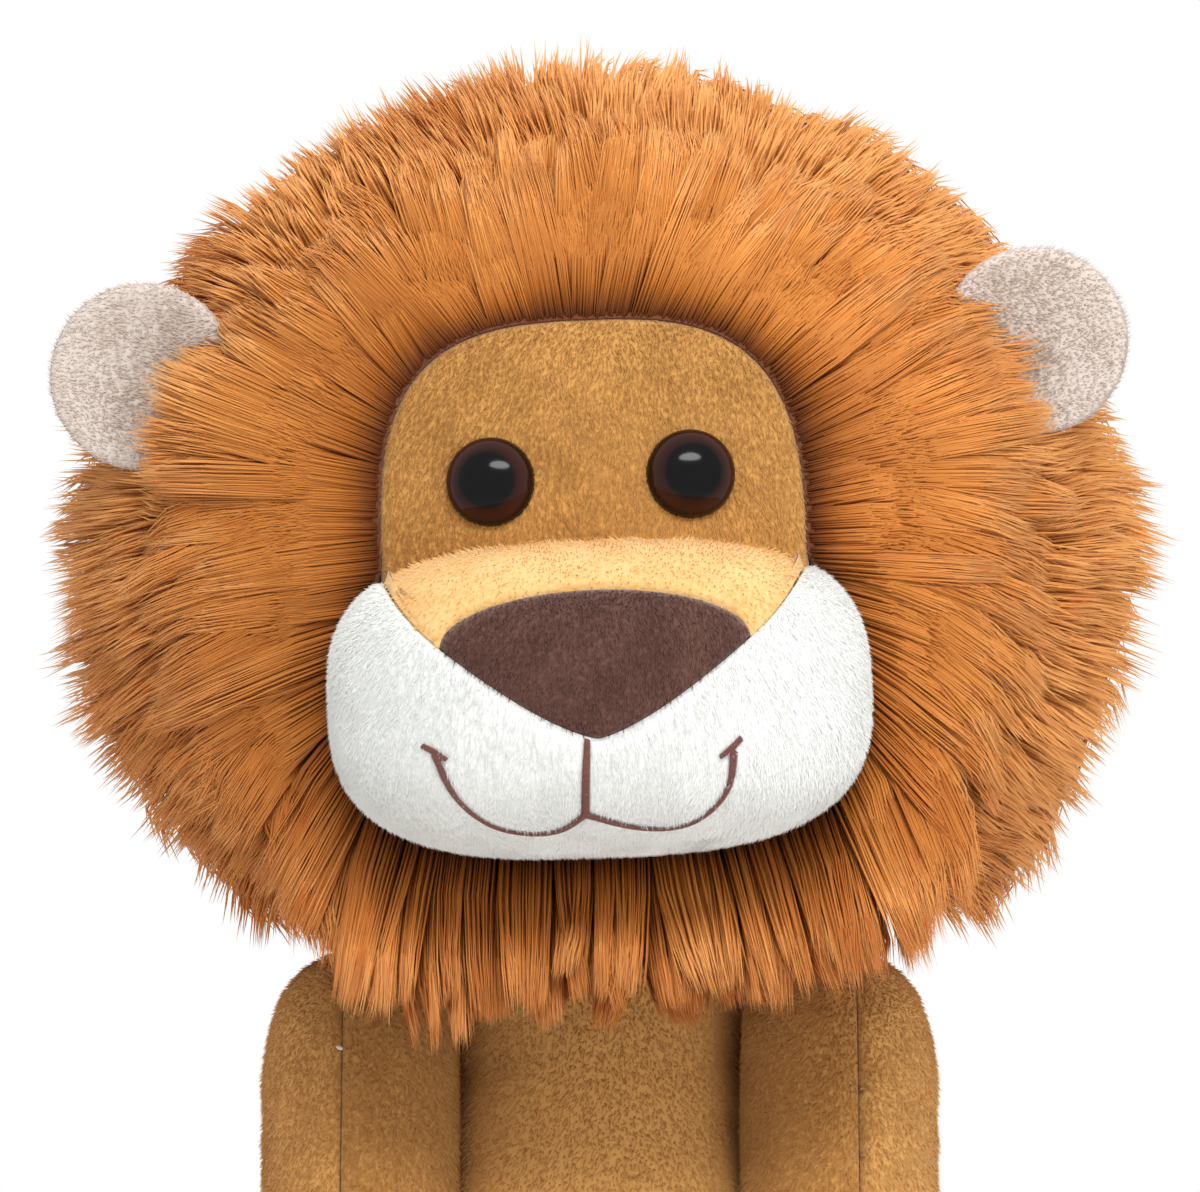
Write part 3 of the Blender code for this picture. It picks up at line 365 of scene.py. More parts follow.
def strand_tree():
    """Geometry nodes that grow closed, tapered strands from a mesh to its aims.

    The mesh carries for each vertex: aim, where a strand from there ends, rise, where its middle
    is drawn to, thick, how many strands grow there, and tone, how light they are.
    """
    sizes = dict.fromkeys(STRAND_SIZES, "Float")
    others = {"Segments": "Int", "Seed": "Int", "Fibre": "Material"}
    tree, given = new_tree("strands", "Base", "Fur", {**sizes, **others})
    base, seed = given["Base"], given["Seed"]

    # Roots of strands, and of the tufts that they belong to
    place = add(tree, "GeometryNodeInputPosition").outputs[0]
    aim = add(tree, NAMED, {0: "aim"}, data_type=VECTOR)
    thick = add(tree, NAMED, {0: "thick"}, data_type="FLOAT")
    growth = add(tree, MATHS, {0: thick, 1: given["Strands"]}, operation="MULTIPLY")
    roots = add(tree, SCATTER, {0: base, 4: growth, 6: seed}).outputs[0]
    growth = add(tree, MATHS, {0: thick, 1: given["Tufts"]}, operation="MULTIPLY")
    tufts = add(tree, SCATTER, {0: base, 4: growth, 6: seed}).outputs[0]
    tuft = add(tree, "GeometryNodeSampleNearest", {0: tufts})
    tuft_aim = add(tree, "GeometryNodeSampleIndex", {0: tufts, 1: aim, 2: tuft}, data_type=VECTOR)

    # A tuft's strands draw together and sway together, and each is a little longer or shorter
    uneven = add(tree, RANDOM, {2: 0.7, 3: 1.15, 8: 3}, data_type="FLOAT")
    gather = add(tree, MATHS, {0: given["Gather"], 1: uneven}, operation="MULTIPLY")
    mixed = add(tree, MIX, {0: gather, 4: aim, 5: tuft_aim}, data_type="VECTOR")
    reach = add(tree, VECTORS, {0: mixed, 1: place}, operation="SUBTRACT")
    by_tuft = add(tree, RANDOM, {2: -1.0, 3: 0.6, 7: tuft, 8: 5}, data_type="FLOAT")
    by_strand = add(tree, RANDOM, {2: -1.0, 3: 0.5, 8: 7}, data_type="FLOAT")
    length = add(tree, MATHS, {0: given["Uneven tufts"], 1: by_tuft, 2: 1.0}, operation="MULTIPLY_ADD")
    length = add(tree, MATHS, {0: given["Uneven strands"], 1: by_strand, 2: length}, operation="MULTIPLY_ADD")
    reach = add(tree, VECTORS, {0: reach, 3: length}, operation="SCALE")
    end = add(tree, VECTORS, {0: place, 1: reach}, operation="ADD")
    for label, drawn in (("Stray", {8: 9}), ("Sway", {7: tuft, 8: 15})):
        anyhow = add(tree, RANDOM, {0: (-1, -1, -1), 1: (1, 1, 1), **drawn}, data_type=VECTOR)
        apart = add(tree, VECTORS, {0: anyhow, 3: given[label]}, operation="SCALE")
        end = add(tree, VECTORS, {0: end, 1: apart}, operation="ADD")

    # How light a strand is follows the base, its tuft and chance
    tone = add(tree, NAMED, {0: "tone"}, data_type="FLOAT")
    own_shade = add(tree, RANDOM, {2: 0.0, 3: 0.26, 8: 11}, data_type="FLOAT")
    tuft_shade = add(tree, RANDOM, {2: 0.0, 3: 0.28, 7: tuft, 8: 13}, data_type="FLOAT")
    shade = add(tree, MATHS, {0: tone, 1: 0.46, 2: own_shade}, operation="MULTIPLY_ADD")
    shade = add(tree, MATHS, {0: shade, 1: tuft_shade}, operation="ADD")
    points = roots
    for label, value, kind in (("root", place, VECTOR), ("shade", shade, "FLOAT"), ("aim", end, VECTOR)):
        points = add(tree, KEPT, {0: points, 2: label, 3: value}, data_type=kind)

    # A slender cone stands at each root. Its sides are shaded round, and its tip flat, as a
    # rounded tip would turn dark and grey
    cone = add(tree, "GeometryNodeMeshCone", {0: 3, 1: given["Segments"], 3: 0.0, 4: 1.0, 5: 1.0})
    last = add(tree, MATHS, {0: 1.0, 1: given["Segments"]}, operation="DIVIDE")
    below = add(tree, MATHS, {0: 1.0, 1: last}, operation="SUBTRACT")
    height = add(tree, "ShaderNodeSeparateXYZ", {0: place}).outputs[2]
    heights = {0: height, 1: below}
    below = add(tree, "FunctionNodeCompare", heights, data_type="FLOAT", operation="LESS_THAN")
    cone = add(tree, "GeometryNodeSetShadeSmooth", {0: cone.outputs[0], 1: below, 2: True})
    strand = add(tree, KEPT, {0: cone, 2: "rung", 3: place}, data_type=VECTOR)
    grown = add(tree, "GeometryNodeInstanceOnPoints", {0: points, 2: strand})
    grown = add(tree, "GeometryNodeRealizeInstances", {0: grown})

    # Each strand leaves its root towards its risen middle and bends over to its aim
    rung = add(tree, "ShaderNodeSeparateXYZ", {0: add(tree, NAMED, {0: "rung"}, data_type=VECTOR)})
    left = add(tree, MATHS, {0: 1.0, 1: rung.outputs[2]}, operation="SUBTRACT")
    left = add(tree, MATHS, {0: left, 1: 1.35}, operation="POWER")
    along = add(tree, MATHS, {0: 1.0, 1: left}, operation="SUBTRACT")
    near = add(tree, MATHS, {0: left, 1: left}, operation="MULTIPLY")
    far = add(tree, MATHS, {0: along, 1: along}, operation="MULTIPLY")
    middle = add(tree, MATHS, {0: along, 1: left}, operation="MULTIPLY")
    middle = add(tree, MATHS, {0: middle, 1: 2.0}, operation="MULTIPLY")
    root = add(tree, NAMED, {0: "root"}, data_type=VECTOR)
    rise = add(tree, NAMED, {0: "rise"}, data_type=VECTOR)
    risen = add(tree, VECTORS, {0: root, 1: rise}, operation="ADD")
    curve = add(tree, VECTORS, {0: root, 3: near}, operation="SCALE")
    for stop, share in ((aim, far), (risen, middle)):
        part = add(tree, VECTORS, {0: stop, 3: share}, operation="SCALE")
        curve = add(tree, VECTORS, {0: curve, 1: part}, operation="ADD")

    # Its section is a triangle across the way it runs, which stays broad almost up to the tip
    ahead = add(tree, VECTORS, {0: aim, 1: root}, operation="SUBTRACT")
    ahead = add(tree, VECTORS, {0: ahead}, operation="NORMALIZE")
    aside = add(tree, VECTORS, {0: ahead, 1: rise}, operation="CROSS_PRODUCT")
    aside = add(tree, VECTORS, {0: aside}, operation="NORMALIZE")
    over = add(tree, VECTORS, {0: ahead, 1: aside}, operation="CROSS_PRODUCT")
    aside = add(tree, VECTORS, {0: aside, 3: rung.outputs[0]}, operation="SCALE")
    over = add(tree, VECTORS, {0: over, 3: rung.outputs[1]}, operation="SCALE")
    section = add(tree, VECTORS, {0: aside, 1: over}, operation="ADD")
    swell = add(tree, MATHS, {0: rung.outputs[2], 1: 1.9, 2: 1.0}, operation="MULTIPLY_ADD")
    swell = add(tree, MATHS, {0: swell, 1: given["Width"]}, operation="MULTIPLY")
    section = add(tree, VECTORS, {0: section, 3: swell}, operation="SCALE")
    curve = add(tree, VECTORS, {0: curve, 1: section}, operation="ADD")
    shaped = add(tree, "GeometryNodeSetPosition", {0: grown, 2: curve})

    # Colour is read from a strip: across it the strand's shade, and along it root to tip
    shade = add(tree, NAMED, {0: "shade"}, data_type="FLOAT")
    across = add(tree, MATHS, {0: shade, 1: 0.94, 2: 0.02}, operation="MULTIPLY_ADD")
    across = add(tree, MATHS, {0: rung.outputs[0], 1: 0.012, 2: across}, operation="MULTIPLY_ADD")
    strip = add(tree, "ShaderNodeCombineXYZ", {0: across, 1: along})
    mapped = add(tree, KEPT, {0: shaped, 2: "OFBake", 3: strip}, data_type="FLOAT2", domain="CORNER")
    painted = add(tree, "GeometryNodeSetMaterial", {0: mapped, 2: given["Fibre"]})
    add(tree, "NodeGroupOutput", {0: painted})
    return tree


def stitch_tree():
    """Geometry nodes that lay one rounded stitch of thread at each point of a path.

    The path carries for each vertex: across, along and out, half of a stitch in each direction.
    """
    inputs = {"Length": "Float", "Thickness": "Float", "Thread": "Material"}
    tree, given = new_tree("stitches", "Path", "Stitches", inputs)
    place = add(tree, "GeometryNodeInputPosition").outputs[0]
    points = add(tree, KEPT, {0: given["Path"], 2: "root", 3: place}, data_type=VECTOR)
    loop = add(tree, "GeometryNodeMeshUVSphere", {0: 6, 1: 5, 2: 1.0})
    loop = add(tree, "GeometryNodeSetShadeSmooth", {0: loop.outputs[0], 2: True})
    loop = add(tree, KEPT, {0: loop, 2: "rung", 3: place}, data_type=VECTOR)
    laid = add(tree, "GeometryNodeInstanceOnPoints", {0: points, 2: loop})
    laid = add(tree, "GeometryNodeRealizeInstances", {0: laid})
    rung = add(tree, "ShaderNodeSeparateXYZ", {0: add(tree, NAMED, {0: "rung"}, data_type=VECTOR)})
    where = add(tree, NAMED, {0: "root"}, data_type=VECTOR)
    halves = (("across", "Length"), ("along", "Thickness"), ("out", "Thickness"))
    for number, (label, size) in enumerate(halves):
        reach = add(tree, MATHS, {0: rung.outputs[number], 1: given[size]}, operation="MULTIPLY")
        way = add(tree, NAMED, {0: label}, data_type=VECTOR)
        way = add(tree, VECTORS, {0: way, 3: reach}, operation="SCALE")
        where = add(tree, VECTORS, {0: where, 1: way}, operation="ADD")
    laid = add(tree, "GeometryNodeSetPosition", {0: laid, 2: where})
    laid = add(tree, "GeometryNodeSetMaterial", {0: laid, 2: given["Thread"]})
    add(tree, "NodeGroupOutput", {0: laid})
    return tree


@contextmanager
def editing(mesh):
    """A mesh opened as a bmesh, and written back afterwards."""
    bm = bmesh.new()
    bm.from_mesh(mesh)
    yield bm
    bm.to_mesh(mesh)
    bm.free()


def new_object(name, mesh):
    made = bpy.data.objects.new(name, mesh)
    scene.collection.objects.link(made)
    return made


def mesh_object(name, points, faces, world=None):
    """An object from points, in the head's frame if world is HEAD, and faces."""
    mesh = bpy.data.meshes.new(name)
    mesh.from_pydata([tuple(p) for p in points], [], faces)
    if world:
        mesh.transform(world)
    mesh.update()
    return new_object(name, mesh)


def plain(name, thing):
    """The evaluated form of an object, as a new object with a plain mesh."""
    bpy.context.view_layer.update()
    evaluated = thing.evaluated_get(bpy.context.evaluated_depsgraph_get())
    mesh = bpy.data.meshes.new_from_object(evaluated)
    mesh.name = name
    return new_object(name, mesh)


def corners(mesh):
    values = np.zeros(len(mesh.vertices) * 3)
    mesh.vertices.foreach_get("co", values)
    return values.reshape(-1, 3)


def normals(mesh):
    values = np.zeros(len(mesh.vertices) * 3)
    mesh.vertex_normals.foreach_get("vector", values)
    return values.reshape(-1, 3)


def move_to(mesh, points):
    mesh.vertices.foreach_set("co", np.ascontiguousarray(points, dtype=np.float32).ravel())
    mesh.update()


def note(mesh, **labelled):
    """Keeps numbers or vectors for each vertex, under their labels."""
    for label, values in labelled.items():
        kind, field = ("FLOAT", "value") if values.ndim == 1 else (VECTOR, "vector")
        attribute = mesh.attributes.new(label, kind, "POINT")
        attribute.data.foreach_set(field, values.astype(np.float32).ravel())


def forget(mesh, labels):
    """Removes values that were only needed while a piece was made."""
    for label in [a.name for a in mesh.attributes if a.name in labels]:
        mesh.attributes.remove(mesh.attributes[label])


def made_by(tree, name, base, body, given):
    """What a node tree makes from a base, as a plain piece that rides on a body."""
    modifier = base.modifiers.new("making", "NODES")
    modifier.node_group = tree
    sockets = {item.name: item.identifier for item in tree.interface.items_tree if item.in_out == "INPUT"}
    for label, value in given.items():
        modifier[sockets[label]] = value
    piece = plain(name, base)
    base.modifiers.remove(modifier)
    forget(piece.data, WORKING)
    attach(piece, body)
    return piece


def grow(name, base, fibre_finish, body, nodes, segments, seed, **sizes):
    """Strands from a base, which carries aim, rise, thick and tone."""
    given = dict.fromkeys(STRAND_SIZES, 0.0)
    given.update({"Uneven strands": 0.3, "Tufts": 1000.0})
    given.update({label.capitalize().replace("_", " "): float(value) for label, value in sizes.items()})
    given.update({"Segments": segments, "Seed": seed, "Fibre": fibre_finish})
    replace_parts(made_by(STRANDS, name, base, body, given), *nodes)


def stitch(name, points, alongs, outs, halves, body, finish, thickness):
    """A row of stitches through points, laid a little aslant across it and halves long each way."""
    path = mesh_object("path", points, [])
    sides = unit(np.cross(outs, alongs))
    note(path.data, across=(sides + 0.25 * alongs) * halves[:, None], along=alongs, out=outs)
    piece = made_by(STITCHES, name, path, body, {"Length": 1.0, "Thickness": thickness, "Thread": finish})
    bpy.data.objects.remove(path)


# Rounded forms of the head

def puffed(directions, centre, halves, powers):
    """Points of a rounded form; powers shape its section across Y, and then along it."""
    across, along = powers
    x, y, z = np.abs(directions).T
    size = ((x**across + z**across) ** (along / across) + y**along) ** (1 / along)
    return centre + halves * directions / size[:, None]


def outward(points, centre, halves, powers):
    """The directions out of a rounded form."""
    across, along = powers
    x, y, z = ((points - centre) / halves).T
    ring = np.maximum(np.abs(x) ** across + np.abs(z) ** across, 1e-9) ** (along / across - 1)
    slopes = (
        ring * np.sign(x) * np.abs(x) ** (across - 1) / halves[0],
        np.sign(y) * np.abs(y) ** (along - 1) / halves[1],
        ring * np.sign(z) * np.abs(z) ** (across - 1) / halves[2],
    )
    return unit(np.stack(slopes, 1))


def polar(turns, openings):
    """Directions around the face's axis: turns go round it, openings away from it."""
    across = np.sin(openings)
    return np.stack((across * np.cos(turns), -np.cos(openings), across * np.sin(turns)), -1)


def rounded_square(x, z, half_width, half_height, power):
    """Below 1 inside a rounded square, and 1 on its edge."""
    return np.abs(x / half_width) ** power + np.abs(z / half_height) ** power


def in_face(x, z):
    """Whether points lie in the forehead or the muzzle, seen from the front."""
    low = MUZZLE_CENTRE[2]
    arch = rounded_square(x, np.maximum(z, 0), FOREHEAD_HALF_WIDTH, FOREHEAD_TOP, FOREHEAD_POWER)
    muzzle = rounded_square(x, z - low, *MUZZLE_HALVES[::2], MUZZLE_POWERS[0])
    return ((arch < 1) & (z > low)) | (muzzle < 1)


def grid_faces(rows, columns):
    """The quads of a grid that closes on itself across its columns."""
    faces = []
    for row in range(rows - 1):
        for column in range(columns):
            after = (column + 1) % columns
            a, b = row * columns + column, row * columns + after
            faces.append((a, b, b + columns, a + columns))
    return faces


# The mane

def mane_rows(columns):
    """For each turn, where the fur starts at the face's edge and where the front panel ends."""
    turns = np.linspace(0, 2 * math.pi, columns, endpoint=False)
    openings = np.radians(np.linspace(10, 100, 361))
    starts, seams = [], []
    for turn in turns:
        points = puffed(polar(turn, openings), HEAD_CENTRE, HEAD_HALVES, HEAD_POWERS)
        starts.append(openings[in_face(points[:, 0], points[:, 2]).nonzero()[0].max()])
        seams.append(openings[(points[:, 1] < MANE_SEAM_Y).nonzero()[0].max()])
    starts = np.mean([np.roll(starts, shift) for shift in (-2, -1, 0, 1, 2)], axis=0)
    return turns, starts, np.array(seams)


def mane_base(name, turns, openings, front):
    """A band of the fur's backing, with the aims of its strands. openings has one row for each ring."""
    rows, columns = openings.shape
    all_turns = np.broadcast_to(turns, openings.shape).ravel()
    opening = openings.ravel()
    points = puffed(polar(all_turns, opening), HEAD_CENTRE, HEAD_HALVES, HEAD_POWERS)
    out = outward(points, HEAD_CENTRE, HEAD_HALVES, HEAD_POWERS)
    share = np.repeat(np.linspace(0, 1, rows), columns)
    near = smooth_step(0, 0.3, share)

    # The fur is combed away from the face, and behind the head it hangs down
    further = puffed(polar(all_turns, opening + 0.01), HEAD_CENTRE, HEAD_HALVES, HEAD_POWERS)
    down = np.array(DOWN) + out * out[:, 2:3]
    hang = 0.85 * smooth_step(math.radians(80), math.radians(140), opening)[:, None]
    comb = unit(unit(further - points) * (1 - hang) + unit(down) * hang)

    # Its strands end on the mane's own form. Those by the ears reach a little further
    if front:
        lean = FRONT_LEAN[0] + FRONT_LEAN[1] * share
        by_ear = np.exp(-(((np.abs(points[:, 0]) / np.hypot(points[:, 0], points[:, 2]) - 0.93) / 0.05) ** 2))
        by_ear *= points[:, 2] > 0
        lean += 0.009 * by_ear * (1 - 0.6 * share)
        depth = np.full(len(share), FRONT_DEPTH)
    else:
        lean = BACK_LEAN[0] + BACK_LEAN[1] * near
        depth = BACK_DEPTH[0] + BACK_DEPTH[1] * near
    target = (points + comb * lean[:, None] - MANE_CENTRE) / MANE_HALVES
    aim = puffed(target, MANE_CENTRE, MANE_HALVES * depth[:, None], (2, 2))
    aim[:, 2] -= 0.004 * np.abs(out[:, 0])

    # Below the muzzle the front fur falls over the chest as a fringe with a rounded hem
    if front:
        wide = points[:, 0] * 1.2
        round_low = 0.004 - MANE_HALVES[2] * np.sqrt(1 - np.minimum(wide / MANE_HALVES[0], 1) ** 2)
        hem = np.maximum(FRINGE_LOW + 0.009 - 0.004 * share, round_low)
        fringe = np.stack((wide, FRINGE_FRONT + FRINGE_DEPTH * share, hem), 1)
        lower = smooth_step(0.020, 0.043, -points[:, 2])[:, None]
        aim = aim * (1 - lower) + fringe * lower

    # Low on its right the mane is tucked in, and the back fur stays clear of the body that turns below
    aim[:, 0] += MANE_TUCK * smooth_step(-0.02, -0.06, aim[:, 2]) * smooth_step(-0.03, -0.07, aim[:, 0])
    over_body = np.hypot(aim[:, 0], aim[:, 1]) < TURN_RADIUS
    aim[:, 2] = np.where(over_body & (not front), np.maximum(aim[:, 2], MANE_FLOOR), aim[:, 2])

    # Locks stray from the way they are combed, and stay behind the ears' front
    drift = wander(points, 0.020, 0.009, seed=1) + wander(points, 0.008, 0.005, seed=2)
    drift -= out * 0.7 * np.sum(drift * out, axis=1)[:, None]
    aim += drift * (1 - 0.45 * lower) if front else drift
    if front:
        aim[:, 1] -= by_ear * np.maximum(aim[:, 1] - EAR_FRONT, 0)

    # How many strands grow, how far their middles stand off the head, and how light they are
    on_neck = (np.hypot(points[:, 0], points[:, 1]) < NECK_RADIUS) & (points[:, 2] < 0)
    if front:
        thick = (1.5 - 0.6 * share) * (1 + 0.4 * lower[:, 0]) * (share > 0)
        stand = 0.16 + 0.34 * smooth_step(0, 0.8, share)
    else:
        thick = np.where(on_neck, 0, 1.8 - 0.95 * smooth_step(0, 0.35, share))
        stand = 0.36 + 0.26 * smooth_step(0.1, 0.4, share)
    length = np.linalg.norm(aim - points, axis=1)
    lift = out * (stand * length)[:, None] + (aim - points) * 0.25
    tone = 0.38 + 0.52 * smooth_step(-0.06, 0.07, aim[:, 2]) + wander(points, 0.02, 0.25, seed=3)[:, 0]
    tone += 0.32 * smooth_step(0.055, 0.085, np.abs(aim[:, 0]))

    faces = grid_faces(rows, columns)
    if not front:
        faces.append(tuple(range((rows - 1) * columns, rows * columns)))
        faces = [face for face in faces if not all(on_neck[i] for i in face)]
    base = mesh_object(name, points, [face[::-1] for face in faces], HEAD)
    rise = lift @ np.array(HEAD.to_3x3()).T
    note(base.data, aim=on_head(aim), rise=rise, thick=thick, tone=np.clip(tone, 0, 1))
    return base


def sector(name, base, low, high):
    """The part of a base between two angles round the face's axis, as an object of its own."""
    centre = HEAD @ Vector((0, 0, 0))
    copy = new_object(name, base.data.copy())
    with editing(copy.data) as bm:
        for face in list(bm.faces):
            middle = face.calc_center_median() - centre
            angle = math.degrees(math.atan2(middle.z, middle.x)) % 360
            if not low <= angle < high:
                bm.faces.remove(face)
    return copy


def make_mane():
    columns = 168
    turns, starts, seams = mane_rows(columns)
    front_rows = np.linspace(0, 1, 12)[:, None] * (seams - starts) + starts
    # A bare margin of the backing runs on behind the muzzle, which overhangs it
    start_points = puffed(polar(turns, starts), HEAD_CENTRE, HEAD_HALVES, HEAD_POWERS)
    margin = 0.004 + 0.08 * smooth_step(-0.004, -0.012, start_points[:, 2])
    front_rows = np.concatenate(((starts - margin)[None], front_rows))
    back_rows = np.linspace(0, 1, 36)[:, None] * (math.pi - 0.06 - seams) + seams
    # Each fur's rows, parts and strands, and the width, unevenness, gather and sway of its strands
    plans = (
        ("front", front_rows, 5, FRONT_STRANDS, 0.00021, 0.16, 0.5, 0.0028),
        ("back", back_rows, 4, BACK_STRANDS, 0.00029, 0.08, 0.35, 0.0016),
    )
    for panel, rows, parts, strands, width, uneven, gather, sway in plans:
        base = mane_base(f"mane_{panel}_backing", turns, rows, panel == "front")
        for part in range(parts):
            low, high = 360 / parts * part, 360 / parts * (part + 1)
            piece = sector("piece", base, low, high)
            name = f"mane_{panel}_fur_{part + 1}"
            grow(
                name, piece, FUR, "head", [f"mane_{panel}"], 3, part + 1,
                strands=strands, tufts=FUR_TUFTS, width=width, gather=gather,
                uneven_tufts=uneven, uneven_strands=0.10, stray=0.0008, sway=sway,
            )
            bpy.data.objects.remove(piece)
        wall = base.modifiers.new("backing", "SOLIDIFY")
        wall.thickness = FABRIC
        wall.offset = -1
        backing = plain(f"mane_{panel}_cloth", base)
        bpy.data.objects.remove(base)
        backing.data.materials.append(FUR_BACKING)
        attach(backing, "head")
        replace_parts(backing, f"mane_{panel}")


# Sewn panels of short-pile plush

def ray_radii(outline, turns, middle=(0, 0)):
    """How far an outline of (x, z) points lies from its middle, in each direction."""
    offsets = np.array(outline) - middle
    angles = np.arctan2(offsets[:, 1], offsets[:, 0])
    order = np.argsort(angles)
    return np.interp(turns, angles[order], np.hypot(*offsets.T)[order], period=2 * math.pi)


def above_floor(points, aim, rise, stray):
    """Aims of strands and the rise of their middles, lifted where they would pass below the floor."""
    lifted, risen = aim.copy(), rise.copy()
    lifted[:, 2] = np.maximum(aim[:, 2], FLOOR_GAP + stray)
    risen[:, 2] = np.maximum(rise[:, 2], FLOOR_GAP - points[:, 2])
    return lifted, risen


def sew(name, base, plush_pair, body, nodes, density, fill=0.85, comb=DOWN, seed=1, cover=None, shading=None):
    """Makes a sheet of plush from an open surface: drawn in at its seams, with its pile on it.

    plush_pair is the cloth's and the pile's material. cover says for points how much of the full
    pile grows there, and shading how much lighter it is painted, as painted light, or darker, as painted
    shade.
    """
    finish, pile = plush_pair
    mesh = base.data
    points, outs = corners(mesh), normals(mesh)
    with editing(mesh) as bm:
        rim = [vertex.co.copy() for vertex in bm.verts if vertex.is_boundary]
    away = distances(points, rim) if rim else np.full(len(points), 1.0)
    points = points - outs * SEAM_DEPTH * np.exp(-((away / SEAM_WIDTH) ** 2))[:, None]
    move_to(mesh, points)
    lie = np.array(comb) + wander(points, 0.007, 0.5, seed)
    lie = unit(lie - outs * np.sum(lie * outs, axis=1)[:, None])
    ends = points + outs * PILE_RISE + lie * PILE_LIE
    aim, rise = above_floor(points, ends, outs * PILE_MIDDLE, PILE_STRAY)
    thick = smooth_step(0, 0.0004, away) * (cover(points) if cover else 1)
    # The tone wanders at random, and shading adds painted light and shade to it
    tone = 0.5 + wander(points, 0.006, 0.4, seed + 1)[:, 0] + (shading(points) if shading else 0)
    note(mesh, aim=aim, rise=rise, thick=thick, tone=np.clip(tone, 0, 1))
    grow(
        f"{name}_pile", base, pile, body, nodes, 1, seed,
        strands=density, width=PILE_WIDTH, stray=PILE_STRAY,
    )
    wall = base.modifiers.new("cloth", "SOLIDIFY")
    wall.thickness = FABRIC
    wall.offset = -1
    cloth = plain(f"{name}_cloth", base)
    bpy.data.objects.remove(base)
    forget(cloth.data, ("aim", "rise", "thick"))
    cloth.data.shade_smooth()
    cloth.data.materials.append(finish)
    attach(cloth, body)
    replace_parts(cloth, *nodes)


def grid_patch(name, rows, closed, facing=(0, -1, 0)):
    """A surface through rows of points on the head, whose faces look towards facing."""
    count, columns = rows.shape[:2]
    faces = grid_faces(count, columns)
    if not closed:
        faces = [face for face in faces if abs(face[0] % columns - face[1] % columns) == 1]
    base = mesh_object(name, rows.reshape(-1, 3), faces, HEAD)
    with editing(base.data) as bm:
        bmesh.ops.remove_doubles(bm, verts=bm.verts, dist=WELD)
        whole = sum((face.normal * face.calc_area() for face in bm.faces), Vector())
        if whole.dot(HEAD.to_3x3() @ Vector(facing)) < 0:
            bmesh.ops.reverse_faces(bm, faces=bm.faces)
    return base


def muzzle_silhouette(turns):
    power = MUZZLE_POWERS[0]
    return rounded_square(np.cos(turns), np.sin(turns), *MUZZLE_HALVES[::2], power) ** (-1 / power)


def muzzle_points(turns, openings):
    """Points of the muzzle round its middle; an opening of 90 degrees is at its silhouette."""
    power = 2 / MUZZLE_POWERS[1]
    reach = muzzle_silhouette(turns) * np.abs(np.sin(openings)) ** power
    forward = np.sign(np.cos(openings)) * np.abs(np.cos(openings)) ** power * MUZZLE_HALVES[1]
    return MUZZLE_CENTRE + np.stack((reach * np.cos(turns), -forward, reach * np.sin(turns)), -1)


def muzzle_opening(turns, radii):
    shares = np.clip(radii / muzzle_silhouette(turns), 0, 1)
    return np.arcsin(shares ** (MUZZLE_POWERS[1] / 2))


def between(low, high, count):
    share = np.linspace(0, 1, count)[:, None]
    return low + (high - low) * share


def filled(outline, turns, middle_z, rings, inset=0):
    """The (x, z) of points in rings that fill an outline round a middle."""
    across = between(0 * turns, ray_radii(outline, turns, (0, middle_z)) - inset, rings)
    return across * np.cos(turns), across * np.sin(turns) + middle_z


def in_front(points):
    """The pile is left out where the muzzle runs back under the fur."""
    return smooth_step(-0.060, -0.067, points[:, 1])


def traced(marks, step):
    """Evenly spaced points on a smooth line past a few marks of (x, z, half width)."""
    marks = np.array(marks)
    for _ in range(4):
        cut = np.stack((marks[:-1] * 0.75 + marks[1:] * 0.25, marks[:-1] * 0.25 + marks[1:] * 0.75), 1)
        marks = np.concatenate((marks[:1], cut.reshape(-1, 3), marks[-1:]))
    run = np.concatenate(((0,), np.cumsum(np.hypot(*np.diff(marks[:, :2], axis=0).T))))
    places = np.arange(0, run[-1], step)
    return np.stack([np.interp(places, run, column) for column in marks.T], 1)


def on_head(points):
    return points @ np.array(HEAD.to_3x3()).T + np.array(HEAD.translation)


def embroider_mouth():
    """Satin stitches side by side along the mouth's lines; returns where they lie."""
    points, alongs, outs, halves = [], [], [], []
    for marks in MOUTH_LINES:
        line = traced(marks, MOUTH_PITCH)
        turns = np.arctan2(line[:, 1], line[:, 0])
        places = muzzle_points(turns, muzzle_opening(turns, np.hypot(line[:, 0], line[:, 1])))
        out = outward(places, MUZZLE_CENTRE, MUZZLE_HALVES, MUZZLE_POWERS)
        points.append(places + out * MOUTH_HEIGHT)
        alongs.append(unit(np.gradient(places, axis=0)))
        outs.append(out)
        halves.append(line[:, 2])
    turn = np.array(HEAD.to_3x3()).T
    points = on_head(np.concatenate(points))
    alongs, outs = np.concatenate(alongs) @ turn, np.concatenate(outs) @ turn
    stitch(
        "mouth_stitches", points, alongs, outs, np.concatenate(halves), "head", MOUTH_THREAD,
        MOUTH_PITCH * 0.85,
    )
    return points


